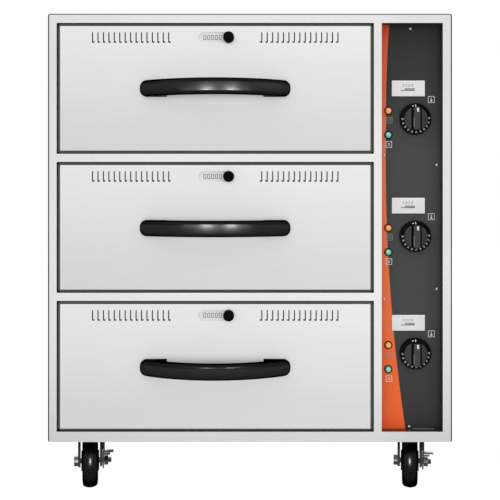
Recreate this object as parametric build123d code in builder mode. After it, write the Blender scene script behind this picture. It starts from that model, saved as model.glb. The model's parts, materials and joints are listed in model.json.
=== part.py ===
"""Three-drawer food warmer on swivel casters, in millimetres.

+Z is up and the drawers open towards -Y. The origin is on the floor, under the
middle of the overall box. A depth is measured back from the front face.
"""

from build123d import *
import os

# Face frame, from left to right and from the bottom to the top
left_stile = 16.0
drawer_opening_width = 589.0
centre_stile = 14.5
panel_opening_width = 113.5
right_stile = 17.0
bottom_rail = 19.0
drawer_opening_height = 243.0
mid_rail = 15.0
top_rail = 17.0
drawer_count = 3

# Cabinet
floor_clearance = 105.0
sheet = 1.2
frame_corner_radius = 4.0
frame_return = 25.0
opening_return = 36.0
rear_flange = 16.0
rear_space = 32.5
base_recess = 22.0
base_sheet = 1.5
base_skirt = 20.0

# Back panel, its cooling slots and the cord gland
back_panel_border = 4.0
cooling_slot_length = 70.0
cooling_slot_height = 4.0
cooling_slot_pitch = 12.0
cooling_slot_rows = 7
cooling_group_below_top = 120.0
cooling_group_above_bottom = 250.0
gland_bore = 9.0
gland_thread = 16.0
gland_collar = 24.0
gland_collar_length = 6.0
gland_dome = 20.4
gland_dome_length = 12.0
gland_dome_taper = 12.0
gland_height = 175.0
gland_from_right = 68.0
lock_nut_width = 22.0
lock_nut_thickness = 4.0
gland_thread_clearance = 0.2
gland_thread_end = 0.8

# Drawer fronts
side_gap = 6.5
level_gap = 6.0
front_depth = 28.0
front_corner_radius = 2.0
inner_panel_sheet = 1.0

# Gaskets: a bead that fills the gap round each front, and a lip behind the front
gasket_bead_start = 3.0
gasket_bead_radius = 2.3
gasket_frame_clearance = 1.0
gasket_width = 5.0
gasket_depth = 5.0
gasket_gap = 0.3

# Vents in the top of each drawer front
vent_slots = 15
vent_pitch = 10.1
vent_slot_width = 5.0
vent_slot_height = 20.6
vent_tongue_width = 2.8
vent_tongue_length = 17.4
first_vent_slot = 85.0
vent_row_below_top = 21.0
vent_window_margin = 4.0
legend_slot_length = 62.0
legend_slot_height = 19.0
shutter_sheet = 1.0
shutter_gap = 0.3
shutter_height = 26.0
shutter_half_length = 233.0
shutter_port_width = 4.0
shutter_port_height = 18.0
shutter_guide_wall = 1.5
shutter_guide_lip = 4.0
shutter_travel_pitches = 4.5
shutter_guide_end_gap = 2.4
vent_knob_diameter = 20.4
vent_knob_depth = 9.0
vent_knob_edge_radius = 2.25
vent_knob_shift = 24.8
vent_stem_diameter = 6.0
vent_knob_gap = 0.6

# Bow handles
handle_length = 279.0
handle_height = 30.0
handle_drop = 1.0
handle_projection = 58.0
handle_grip_thickness = 13.0
handle_foot_length = 50.0
handle_end_radius = 13.0
handle_edge_radius = 7.25
handle_end_depth = 9.0
handle_root_radius = 7.0

# Heated cavities, their heaters and the insulation
cavity_side_step = 14.5
cavity_level_step = 14.0
cavity_rear_clearance = 37.3
liner_sheet = 1.0
liner_flange_clearance = 0.5
insulation_right = 19.0
insulation_rear = 22.0
heater_diameter = 8.0
heater_height = 12.0
heater_first_depth = 120.0
heater_span = 280.0
heater_left_margin = 70.0
heater_bend_radius = 60.0
heater_hole_clearance = 0.3
heater_terminal = 16.0

# Drawer carriers and pans, from the cavity floor up
carrier_bottom = 118.0
carrier_height = 60.5
carrier_length = 455.0
carrier_sheet = 1.5
carrier_ledge = 14.0
pan_depth = 150.0
pan_sheet = 1.0
pan_rim_gap = 1.5
pan_rim_width = 13.0
pan_corner_radius = 32.0
pan_rim_radius = 12.0
pan_floor_radius = 14.0
pan_draft = 3.0

# Telescopic drawer slides
slide_length = 450.0
slide_thickness = 12.7
slide_height = 45.0
slide_sheet = 1.5
slide_gap = 0.8
slide_outer_depth = 9.5
slide_mid_start = 3.0
slide_inner_start = 6.5
slide_level = 148.0

# Control panel and its accent strip
panel_recess = 20.0
panel_fit = 0.3
panel_screw_inset = 6.5
panel_tab = 14.0
panel_left_screw_spread = 135.0
panel_right_screw_spread = 116.5
strip_thickness = 0.3
strip_top_width = 16.5
strip_neck_width = 10.7
strip_shoulder_bulge = 1.0
strip_neck_above_bottom = 566.0
strip_bend_width = 17.3
strip_bend_above_bottom = 280.0
strip_bottom_width = 47.0

# Control units, measured from the middle of each knob
control_pitch = 220.0
lowest_knob_height = 266.0
knob_from_panel_middle = 9.0
display_width = 62.0
display_height = 29.5
display_bezel = 2.5
display_chamfer = 0.8
display_body_width = 57.0
display_body_height = 25.0
display_body_depth = 24.0
display_shift = -13.1
display_rise = 57.5
lamp_diameter = 12.8
lamp_bezel = 2.0
lamp_rim = 1.2
lamp_dome = 4.0
lamp_dome_taper = 25.0
lamp_body_diameter = 9.6
lamp_body_depth = 22.0
lamp_shift = -50.5
amber_rise = 15.6
green_rise = -29.8
control_fit = 0.3

# Thermostats and their knobs
knob_skirt_diameter = 59.0
knob_skirt_edge = 2.5
knob_skirt_rise = 4.5
knob_skirt_top_diameter = 44.0
knob_disc_diameter = 43.0
knob_disc_rise = 1.5
knob_grip_width = 14.3
knob_grip_rise = 12.5
knob_grip_edge_radius = 2.5
knob_gap = 0.5
spindle_diameter = 6.0
spindle_length = 16.0
spindle_clearance = 0.1
bush_diameter = 10.0
bush_length = 4.0
thermostat_width = 36.0
thermostat_height = 44.0
thermostat_depth = 22.0

# Casters
wheel_diameter = 100.0
wheel_width = 30.0
tyre_depth = 14.0
tyre_edge_radius = 8.0
tyre_taper = 1.0
rim_inset = 2.5
web_width = 14.0
hub_diameter = 38.0
hub_width = 34.0
hub_gap = 1.5
axle_diameter = 10.0
bearing_clearance = 0.1
fork_sheet = 2.5
fork_rim_depth = 2.3
fork_rim_width = 2.5
fork_boss_diameter = 24.0
fork_crown_length = 54.0
fork_crown_gap = 7.0
raceway_diameter = 50.0
raceway_taper = 8.0
kingpin_diameter = 12.0
caster_plate_length = 95.0
caster_plate_width = 70.0
caster_plate_thickness = 3.0
caster_plate_radius = 8.0
caster_plate_gap = 0.3
caster_trail = 35.0
caster_side_inset = 60.0
front_caster_turn = 10.0
front_caster_depth = 104.0
rear_caster_inset = 104.0
axle_nut_width = 17.0
axle_nut_thickness = 7.5
axle_end = 6.0
bolt_slot_length = 13.0
bolt_slot_width = 8.5
bolt_spacing_x = 74.0
bolt_spacing_y = 48.0

# Side brakes of the front casters
brake_sheet = 2.5
brake_gap = 0.5
brake_boss_diameter = 22.0
pedal_reach = 26.0
pedal_rise = 24.0
pedal_tip_diameter = 10.0
pedal_width = 17.5
pedal_length = 20.0
pedal_slope = 8.0
release_rise = 4.5
release_width = 12.0
cam_drop = 14.0
cam_shift = 8.0

# Worked out from the sizes above
cabinet_width = left_stile + drawer_opening_width + centre_stile + panel_opening_width + right_stile
cabinet_height = bottom_rail + drawer_count * (drawer_opening_height + mid_rail) - mid_rail + top_rail
cabinet_bottom = floor_clearance
cabinet_top = cabinet_bottom + cabinet_height
slide_front = opening_return
liner_front = front_depth + gasket_depth + gasket_gap
cavity_rear = max(slide_front + slide_length, front_depth + carrier_length) + cavity_rear_clearance
cavity_depth = cavity_rear - liner_front
liner_rear = cavity_rear + liner_sheet
cabinet_depth = liner_rear + insulation_rear + rear_space + sheet
gland_projection = gland_collar_length + gland_dome_length
front_y = (handle_projection - cabinet_depth - gland_projection) / 2
left_edge = -cabinet_width / 2
drawer_x = left_edge + left_stile + drawer_opening_width / 2
panel_left = left_edge + left_stile + drawer_opening_width + centre_stile
panel_x = panel_left + panel_opening_width / 2
panel_bottom = cabinet_bottom + bottom_rail
panel_opening_height = cabinet_height - bottom_rail - top_rail
panel_z = panel_bottom + panel_opening_height / 2
opening_centres = [
    cabinet_top - top_rail - drawer_opening_height / 2 - step * (drawer_opening_height + mid_rail)
    for step in range(drawer_count)
]
face_width = drawer_opening_width - 2 * side_gap
face_height = drawer_opening_height - 2 * level_gap
vent_row_rise = face_height / 2 - vent_row_below_top
vent_centres = [
    side * (first_vent_slot + step * vent_pitch) for side in (-1, 1) for step in range(vent_slots)
]
vent_tongue_shift = (vent_slot_width - vent_tongue_width) / 2
vent_tongue_rise = (vent_slot_height - vent_tongue_length) / 2
tongue_centres = [
    centre + vent_tongue_shift if centre < 0 else centre - vent_tongue_shift for centre in vent_centres
]
vent_group_centre = first_vent_slot + (vent_slots - 1) * vent_pitch / 2
vent_group_width = (vent_slots - 1) * vent_pitch + vent_slot_width
shutter_travel = shutter_travel_pitches * vent_pitch
shutter_depth = sheet + shutter_gap
cavity_width = drawer_opening_width - 2 * cavity_side_step
cavity_height = drawer_opening_height - 2 * cavity_level_step
liner_outer_width = cavity_width + 2 * liner_sheet
liner_outer_height = cavity_height + 2 * liner_sheet
floor_drop = cavity_height / 2
insulation_right_x = drawer_x + liner_outer_width / 2 + insulation_right
base_underside = cabinet_bottom + base_recess
knob_x = panel_x + knob_from_panel_middle
knob_heights = [lowest_knob_height + step * control_pitch for step in reversed(range(drawer_count))]
wheel_radius = wheel_diameter / 2
caster_spots = [
    (side * (cabinet_width / 2 - caster_side_inset), front_y + depth)
    for depth in (front_caster_depth, cabinet_depth - rear_caster_inset)
    for side in (-1, 1)
]
fork_inner_width = hub_width + 2 * hub_gap
fork_outer = fork_inner_width / 2 + fork_sheet + fork_rim_depth
crown_underside = wheel_diameter + fork_crown_gap
raceway_top = base_underside - caster_plate_thickness - caster_plate_gap


def frontal(depth):
    """Plane parallel to the front face, its normal to the front, `depth` behind the face."""
    return Plane(origin=(0, front_y + depth, 0), x_dir=(1, 0, 0), z_dir=(0, -1, 0))


def save(piece, name, axis=Axis.Z, turn=0.0):
    """Label a finished piece and write it to its own file, turned about `axis` by `turn` degrees."""
    finished = piece.part.rotate(axis, turn) if turn else piece.part
    finished.label = name
    export_step(finished, f"parts/{name}.step")


def cabinet_outline(inset, mode=Mode.ADD):
    """Draw the cabinet's front outline, drawn in by `inset`, with its rounded corners."""
    width = cabinet_width - 2 * inset
    height = cabinet_height - 2 * inset
    radius = max(frame_corner_radius - inset, sheet)
    with Locations((0, (cabinet_bottom + cabinet_top) / 2)):
        RectangleRounded(width, height, radius, mode=mode)


os.makedirs("parts", exist_ok=True)

# Outer shell: one wrap of top and sides, with an inward flange at the rear
with BuildPart() as outer_shell:
    with BuildSketch(frontal(sheet)):
        cabinet_outline(0)
        cabinet_outline(sheet, mode=Mode.SUBTRACT)
        with Locations((0, cabinet_bottom)):
            Rectangle(cabinet_width - 2 * sheet, 2 * sheet, mode=Mode.SUBTRACT)
            Rectangle(cabinet_width, 2 * frame_corner_radius, mode=Mode.SUBTRACT)
        with Locations(
            (left_edge + sheet / 2, cabinet_bottom + frame_corner_radius),
            (-left_edge - sheet / 2, cabinet_bottom + frame_corner_radius),
        ):
            Rectangle(sheet, 2 * frame_corner_radius)
    extrude(amount=-(cabinet_depth - 2 * sheet))
    with BuildSketch(frontal(cabinet_depth - 2 * sheet)):
        cabinet_outline(0)
        cabinet_outline(rear_flange, mode=Mode.SUBTRACT)
        with Locations((0, cabinet_bottom)):
            Rectangle(cabinet_width, 2 * rear_flange, mode=Mode.SUBTRACT)
    extrude(amount=-sheet)
save(outer_shell, "outer_shell")

# Face frame: front plate with returns round its edge and round every opening
panel_screws = [
    (panel_x, panel_z + panel_opening_height / 2 - panel_screw_inset),
    (panel_x, panel_z - panel_opening_height / 2 + panel_screw_inset),
    (panel_left + panel_screw_inset, panel_z + panel_left_screw_spread),
    (panel_left + panel_screw_inset, panel_z - panel_left_screw_spread),
    (panel_left + panel_opening_width - panel_screw_inset, panel_z + panel_right_screw_spread),
    (panel_left + panel_opening_width - panel_screw_inset, panel_z - panel_right_screw_spread),
]
drawer_openings = [(drawer_x, level) for level in opening_centres]
with BuildPart() as face_frame:
    with BuildSketch(frontal(0)):
        cabinet_outline(0)
        with Locations(*drawer_openings):
            Rectangle(drawer_opening_width, drawer_opening_height, mode=Mode.SUBTRACT)
        with Locations((panel_x, panel_z)):
            Rectangle(panel_opening_width, panel_opening_height, mode=Mode.SUBTRACT)
    extrude(amount=-sheet)
    with BuildSketch(frontal(sheet)):
        cabinet_outline(sheet)
        cabinet_outline(2 * sheet, mode=Mode.SUBTRACT)
    extrude(amount=-(frame_return - sheet))
    with BuildSketch(frontal(sheet)):
        with Locations(*drawer_openings):
            Rectangle(drawer_opening_width + 2 * sheet, drawer_opening_height + 2 * sheet)
            Rectangle(drawer_opening_width, drawer_opening_height, mode=Mode.SUBTRACT)
    extrude(amount=-(opening_return - sheet))
    with BuildSketch(frontal(sheet)):
        with Locations((panel_x, panel_z)):
            Rectangle(panel_opening_width + 2 * sheet, panel_opening_height + 2 * sheet)
            Rectangle(panel_opening_width, panel_opening_height, mode=Mode.SUBTRACT)
    extrude(amount=-(panel_recess + sheet))
    with BuildSketch(frontal(panel_recess + sheet)):
        with Locations(*panel_screws):
            Rectangle(panel_tab, panel_tab)
    extrude(amount=-sheet)
save(face_frame, "face_frame")

# Base pan: raised floor of the cabinet with a skirt turned down all round
base_front = opening_return
base_length = cabinet_depth - 2 * sheet - base_front
base_width = cabinet_width - 2 * sheet
base_y = front_y + base_front + base_length / 2
with BuildPart() as base_pan:
    with BuildSketch(Plane.XY.offset(base_underside)):
        with Locations((0, base_y)):
            Rectangle(base_width, base_length)
    extrude(amount=base_sheet)
    with BuildSketch(Plane.XY.offset(base_underside)):
        with Locations((0, base_y)):
            Rectangle(base_width, base_length)
            Rectangle(base_width - 2 * base_sheet, base_length - 2 * base_sheet, mode=Mode.SUBTRACT)
    extrude(amount=-base_skirt)
save(base_pan, "base_pan")

# Back panel, with cooling slots behind the controls and a hole for the gland
gland_x = -left_edge - gland_from_right
cooling_rows = [
    start + row * cooling_slot_pitch
    for start in (
        cabinet_bottom + cooling_group_above_bottom,
        cabinet_top - cooling_group_below_top,
    )
    for row in range(cooling_slot_rows)
]
with BuildPart() as back_panel:
    with BuildSketch(frontal(cabinet_depth - sheet)):
        cabinet_outline(back_panel_border)
        with Locations(*[(panel_x, level) for level in cooling_rows]):
            SlotOverall(cooling_slot_length, cooling_slot_height, mode=Mode.SUBTRACT)
        with Locations((gland_x, gland_height)):
            Circle(gland_thread / 2 + gland_thread_clearance, mode=Mode.SUBTRACT)
    extrude(amount=-sheet)
save(back_panel, "back_panel")

# Cord gland: collar and dome outside, thread through the panel, lock nut inside
gland_inner_depth = cabinet_depth - sheet - lock_nut_thickness - gland_thread_end
with BuildPart() as cord_gland:
    with BuildSketch(frontal(cabinet_depth)):
        with Locations((gland_x, gland_height)):
            Circle(gland_collar / 2)
    extrude(amount=-gland_collar_length)
    with BuildSketch(frontal(cabinet_depth + gland_collar_length)):
        with Locations((gland_x, gland_height)):
            Circle(gland_dome / 2)
    extrude(amount=-gland_dome_length, taper=gland_dome_taper)
    with BuildSketch(frontal(gland_inner_depth)):
        with Locations((gland_x, gland_height)):
            Circle(gland_thread / 2)
    extrude(amount=-(cabinet_depth - gland_inner_depth))
    with BuildSketch(frontal(cabinet_depth - sheet)):
        with Locations((gland_x, gland_height)):
            RegularPolygon(lock_nut_width / 2, 6, major_radius=False)
    extrude(amount=lock_nut_thickness)
    with BuildSketch(frontal(gland_inner_depth)):
        with Locations((gland_x, gland_height)):
            Circle(gland_bore / 2)
    extrude(amount=-cabinet_depth, mode=Mode.SUBTRACT)
save(cord_gland, "cord_gland")

# Cavity liners: open boxes with a flange that the door gaskets close on
heater_depths = (heater_first_depth, heater_first_depth + heater_span)
heater_levels = [level - floor_drop + heater_height for level in opening_centres]
heater_ends = [
    (front_y + depth, level) for depth in heater_depths for level in heater_levels
]
liner_right = drawer_x + cavity_width / 2
with BuildPart() as cavity_liners:
    with BuildSketch(frontal(liner_front)):
        with Locations(*drawer_openings):
            Rectangle(
                drawer_opening_width - 2 * liner_flange_clearance,
                drawer_opening_height - 2 * liner_flange_clearance,
            )
            Rectangle(cavity_width, cavity_height, mode=Mode.SUBTRACT)
    extrude(amount=-liner_sheet)
    with BuildSketch(frontal(liner_front)):
        with Locations(*drawer_openings):
            Rectangle(liner_outer_width, liner_outer_height)
            Rectangle(cavity_width, cavity_height, mode=Mode.SUBTRACT)
    extrude(amount=-(cavity_depth + liner_sheet))
    with BuildSketch(frontal(liner_rear - liner_sheet)):
        with Locations(*drawer_openings):
            Rectangle(liner_outer_width, liner_outer_height)
    extrude(amount=-liner_sheet)
    with BuildSketch(Plane.YZ.offset(liner_right)):
        with Locations(*heater_ends):
            Circle(heater_diameter / 2 + heater_hole_clearance)
    extrude(amount=liner_sheet, mode=Mode.SUBTRACT)
save(cavity_liners, "cavity_liners")

# Insulation: board round the three liners, from shell to compartment divider
divider_x = insulation_right_x
divider_bottom = base_underside + base_sheet
divider_height = cabinet_top - sheet - divider_bottom


def insulated_side(mode=Mode.INTERSECT):
    """Keep the part of a front outline that lies between the shell and the divider."""
    with Locations((left_edge, divider_bottom)):
        Rectangle(
            divider_x - left_edge,
            divider_height,
            align=(Align.MIN, Align.MIN),
            mode=mode,
        )


with BuildPart() as insulation:
    with BuildSketch(frontal(opening_return)):
        cabinet_outline(sheet)
        insulated_side()
        with Locations(*drawer_openings):
            Rectangle(liner_outer_width, liner_outer_height, mode=Mode.SUBTRACT)
    extrude(amount=-(liner_rear - opening_return))
    with BuildSketch(frontal(liner_rear)):
        cabinet_outline(sheet)
        insulated_side()
    extrude(amount=-insulation_rear)
    with BuildSketch(Plane.YZ.offset(liner_right)):
        with Locations(*heater_ends):
            Circle(heater_diameter / 2 + heater_hole_clearance)
    extrude(amount=2 * insulation_right, mode=Mode.SUBTRACT)
save(insulation, "insulation")

# Compartment divider: wall between the heated side and the controls
with BuildPart() as compartment_divider:
    with BuildSketch(Plane.YZ.offset(divider_x)):
        with Locations((front_y + opening_return, divider_bottom)):
            Rectangle(
                cabinet_depth - 2 * sheet - opening_return,
                divider_height,
                align=(Align.MIN, Align.MIN),
            )
        with Locations(*heater_ends):
            Circle(heater_diameter / 2 + heater_hole_clearance, mode=Mode.SUBTRACT)
    extrude(amount=sheet)
save(compartment_divider, "compartment_divider")

# Heating elements: one hairpin tube over each cavity floor
heater_right = divider_x + heater_terminal
heater_left = drawer_x - cavity_width / 2 + heater_left_margin
with BuildPart() as heating_elements:
    for level in heater_levels:
        near_y, far_y = (front_y + depth for depth in heater_depths)
        with BuildLine():
            FilletPolyline(
                (heater_right, near_y, level),
                (heater_left, near_y, level),
                (heater_left, far_y, level),
                (heater_right, far_y, level),
                radius=heater_bend_radius,
            )
        with BuildSketch(Plane.YZ.offset(heater_right)):
            with Locations((near_y, level)):
                Circle(heater_diameter / 2)
        sweep()
save(heating_elements, "heating_elements")

# Control panel, with cut-outs for displays, lamps and thermostat bushes
panel_width = panel_opening_width - 2 * panel_fit
panel_height = panel_opening_height - 2 * panel_fit
display_spots = [(knob_x + display_shift, level + display_rise) for level in knob_heights]
amber_spots = [(knob_x + lamp_shift, level + amber_rise) for level in knob_heights]
green_spots = [(knob_x + lamp_shift, level + green_rise) for level in knob_heights]
knob_spots = [(knob_x, level) for level in knob_heights]
with BuildPart() as control_panel:
    with BuildSketch(frontal(panel_recess)):
        with Locations((panel_x, panel_z)):
            Rectangle(panel_width, panel_height)
        with Locations(*display_spots):
            Rectangle(
                display_body_width + 2 * control_fit,
                display_body_height + 2 * control_fit,
                mode=Mode.SUBTRACT,
            )
        with Locations(*amber_spots, *green_spots):
            Circle(lamp_body_diameter / 2 + control_fit, mode=Mode.SUBTRACT)
        with Locations(*knob_spots):
            Circle(bush_diameter / 2 + control_fit, mode=Mode.SUBTRACT)
    extrude(amount=-sheet)
save(control_panel, "control_panel")

# Accent strip: film on the panel whose right edge narrows, then sweeps out
strip_left = panel_left + panel_fit
strip_bottom = panel_z - panel_height / 2
strip_top = panel_z + panel_height / 2
strip_neck = strip_bottom + strip_neck_above_bottom
strip_bend = strip_bottom + strip_bend_above_bottom
strip_shoulder = (strip_neck + strip_top) / 2
with BuildPart() as accent_strip:
    with BuildSketch(frontal(panel_recess)):
        with BuildLine():
            Line((strip_left + strip_bottom_width, strip_bottom), (strip_left, strip_bottom))
            Line((strip_left, strip_bottom), (strip_left, strip_top))
            Line((strip_left, strip_top), (strip_left + strip_top_width, strip_top))
            ThreePointArc(
                (strip_left + strip_top_width, strip_top),
                (strip_left + strip_neck_width + strip_shoulder_bulge, strip_shoulder),
                (strip_left + strip_neck_width, strip_neck),
            )
            ThreePointArc(
                (strip_left + strip_neck_width, strip_neck),
                (strip_left + strip_bend_width, strip_bend),
                (strip_left + strip_bottom_width, strip_bottom),
            )
        make_face()
        with Locations(*amber_spots, *green_spots):
            Circle(lamp_diameter / 2 + control_fit, mode=Mode.SUBTRACT)
        with Locations(*display_spots):
            Rectangle(
                display_width + 2 * control_fit,
                display_height + 2 * control_fit,
                mode=Mode.SUBTRACT,
            )
    extrude(amount=strip_thickness)
save(accent_strip, "accent_strip")

# Temperature displays: bezel on the panel, body behind it
with BuildPart() as displays:
    with BuildSketch(frontal(panel_recess)):
        with Locations(*display_spots):
            Rectangle(display_width, display_height)
    extrude(amount=display_bezel)
    chamfer(displays.faces().group_by(Axis.Y)[0].edges(), display_chamfer)
    with BuildSketch(frontal(panel_recess)):
        with Locations(*display_spots):
            Rectangle(display_body_width, display_body_height)
    extrude(amount=-display_body_depth)
save(displays, "displays")


def lamp_group(spots):
    """Model the indicator lamps at `spots`: domed cap and bezel in front, body behind."""
    with BuildPart() as lamps:
        with BuildSketch(frontal(panel_recess)):
            with Locations(*spots):
                Circle(lamp_diameter / 2)
        extrude(amount=lamp_bezel)
        with BuildSketch(frontal(panel_recess - lamp_bezel)):
            with Locations(*spots):
                Circle(lamp_diameter / 2 - lamp_rim)
        extrude(amount=lamp_dome, taper=lamp_dome_taper)
        with BuildSketch(frontal(panel_recess)):
            with Locations(*spots):
                Circle(lamp_body_diameter / 2)
        extrude(amount=-lamp_body_depth)
    return lamps


amber_lamps = lamp_group(amber_spots)
save(amber_lamps, "amber_lamps")
green_lamps = lamp_group(green_spots)
save(green_lamps, "green_lamps")

# Thermostats: switch body behind the panel, bush through it, bore for the spindle
thermostat_front = panel_recess + sheet
with BuildPart() as thermostats:
    with BuildSketch(frontal(thermostat_front)):
        with Locations(*knob_spots):
            RectangleRounded(thermostat_width, thermostat_height, sheet)
    extrude(amount=-thermostat_depth)
    with BuildSketch(frontal(thermostat_front)):
        with Locations(*knob_spots):
            Circle(bush_diameter / 2)
    extrude(amount=sheet)
    with BuildSketch(frontal(panel_recess)):
        with Locations(*knob_spots):
            Circle(spindle_diameter / 2 + spindle_clearance)
    extrude(amount=-(spindle_length + bush_length), mode=Mode.SUBTRACT)
save(thermostats, "thermostats")

# Thermostat knobs: skirt, raised disc and grip bar, with the spindle behind
knob_rear = panel_recess - knob_gap
disc_front = knob_rear - knob_skirt_edge - knob_skirt_rise - knob_disc_rise
for number, level in enumerate(knob_heights, start=1):
    with BuildPart() as thermostat_knob:
        with BuildSketch(frontal(knob_rear)):
            with Locations((knob_x, level)):
                Circle(knob_skirt_diameter / 2)
        extrude(amount=knob_skirt_edge)
        with BuildSketch(frontal(knob_rear - knob_skirt_edge)) as skirt_base:
            with Locations((knob_x, level)):
                Circle(knob_skirt_diameter / 2)
        with BuildSketch(frontal(knob_rear - knob_skirt_edge - knob_skirt_rise)) as skirt_top:
            with Locations((knob_x, level)):
                Circle(knob_skirt_top_diameter / 2)
        loft(sections=[skirt_base.sketch.face(), skirt_top.sketch.face()])
        with BuildSketch(frontal(disc_front + knob_disc_rise)):
            with Locations((knob_x, level)):
                Circle(knob_disc_diameter / 2)
        extrude(amount=knob_disc_rise)
        with BuildSketch(frontal(disc_front)):
            with Locations((knob_x, level)):
                Circle(knob_disc_diameter / 2)
                Rectangle(knob_grip_width, knob_disc_diameter, mode=Mode.INTERSECT)
        extrude(amount=knob_grip_rise)
        fillet(thermostat_knob.faces().sort_by(Axis.Y)[0].edges(), knob_grip_edge_radius)
        with BuildSketch(frontal(knob_rear)):
            with Locations((knob_x, level)):
                Circle(spindle_diameter / 2)
        extrude(amount=-spindle_length)
    save(thermostat_knob, f"thermostat_knob_{number}")


# Telescopic slides: outer members on the liners, middle and inner members that run in them
slide_levels = [level - floor_drop + slide_level for level in opening_centres]
mid_height = slide_height - 2 * (slide_sheet + slide_gap)
inner_height = mid_height - 2 * (slide_sheet + slide_gap)
with BuildPart() as slide_outer_members:
    with BuildSketch(frontal(slide_front)):
        with Locations(*[(liner_right, level) for level in slide_levels]):
            Rectangle(slide_outer_depth, slide_height, align=(Align.MAX, Align.CENTER))
        with Locations(*[(liner_right - slide_sheet, level) for level in slide_levels]):
            Rectangle(
                slide_outer_depth,
                slide_height - 2 * slide_sheet,
                align=(Align.MAX, Align.CENTER),
                mode=Mode.SUBTRACT,
            )
    extrude(amount=-slide_length)
    mirror(about=Plane.YZ.offset(drawer_x))
save(slide_outer_members, "slide_outer_members")

# Caster plates, bolted under the base pan
with BuildPart() as caster_plates:
    with BuildSketch(Plane.XY.offset(base_underside - caster_plate_thickness)):
        with Locations(*caster_spots):
            RectangleRounded(caster_plate_length, caster_plate_width, caster_plate_radius)
            Circle(kingpin_diameter / 2 + bearing_clearance, mode=Mode.SUBTRACT)
            with GridLocations(bolt_spacing_x, bolt_spacing_y, 2, 2):
                SlotOverall(bolt_slot_length, bolt_slot_width, mode=Mode.SUBTRACT)
    extrude(amount=caster_plate_thickness)
save(caster_plates, "caster_plates")


def pan_form(inset, level):
    """Draw and pull down the tapered bowl of a pan, drawn in by `inset`."""
    with BuildPart(mode=Mode.PRIVATE) as bowl:
        with BuildSketch(Plane.XY.offset(level)):
            with Locations((drawer_x, carrier_y)):
                RectangleRounded(
                    pan_width - 2 * (pan_rim_width + inset),
                    pan_length - 2 * (pan_rim_width + inset),
                    pan_corner_radius - inset,
                )
        extrude(amount=-(pan_depth - inset), taper=pan_draft)
        fillet(bowl.faces().sort_by(Axis.Z)[0].edges(), pan_floor_radius - inset)
    return bowl.part


handle_grip_rear = handle_projection - handle_grip_thickness
handle_inner_half = handle_length / 2 - handle_foot_length
handle_rise = handle_projection - handle_end_depth
handle_arc_radius = (handle_length**2 / 4 + handle_rise**2) / (2 * handle_rise)
handle_inner_radius = handle_arc_radius - handle_grip_thickness
handle_root_depth = handle_grip_rear - handle_inner_radius
handle_root_depth += (handle_inner_radius**2 - handle_inner_half**2) ** 0.5
carrier_y = front_y + front_depth + carrier_length / 2
carrier_width = cavity_width - 2 * slide_thickness
pan_width = carrier_width - 2 * (carrier_sheet + pan_rim_gap)
pan_length = carrier_length - 2 * (carrier_sheet + pan_rim_gap)
shutter_ports = [
    centre + shutter_travel
    for centre in vent_centres
    if abs(centre + shutter_travel) < shutter_half_length - shutter_port_width
]
guide_length = face_width - 2 * shutter_guide_end_gap
guide_depth = shutter_sheet + 2 * shutter_gap
gasket_outer_width = drawer_opening_width - 2 * gasket_frame_clearance
gasket_outer_height = drawer_opening_height - 2 * gasket_frame_clearance
gasket_bead_width = min(side_gap, level_gap) - gasket_frame_clearance
gasket_corner_radius = front_corner_radius + gasket_bead_width

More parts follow.
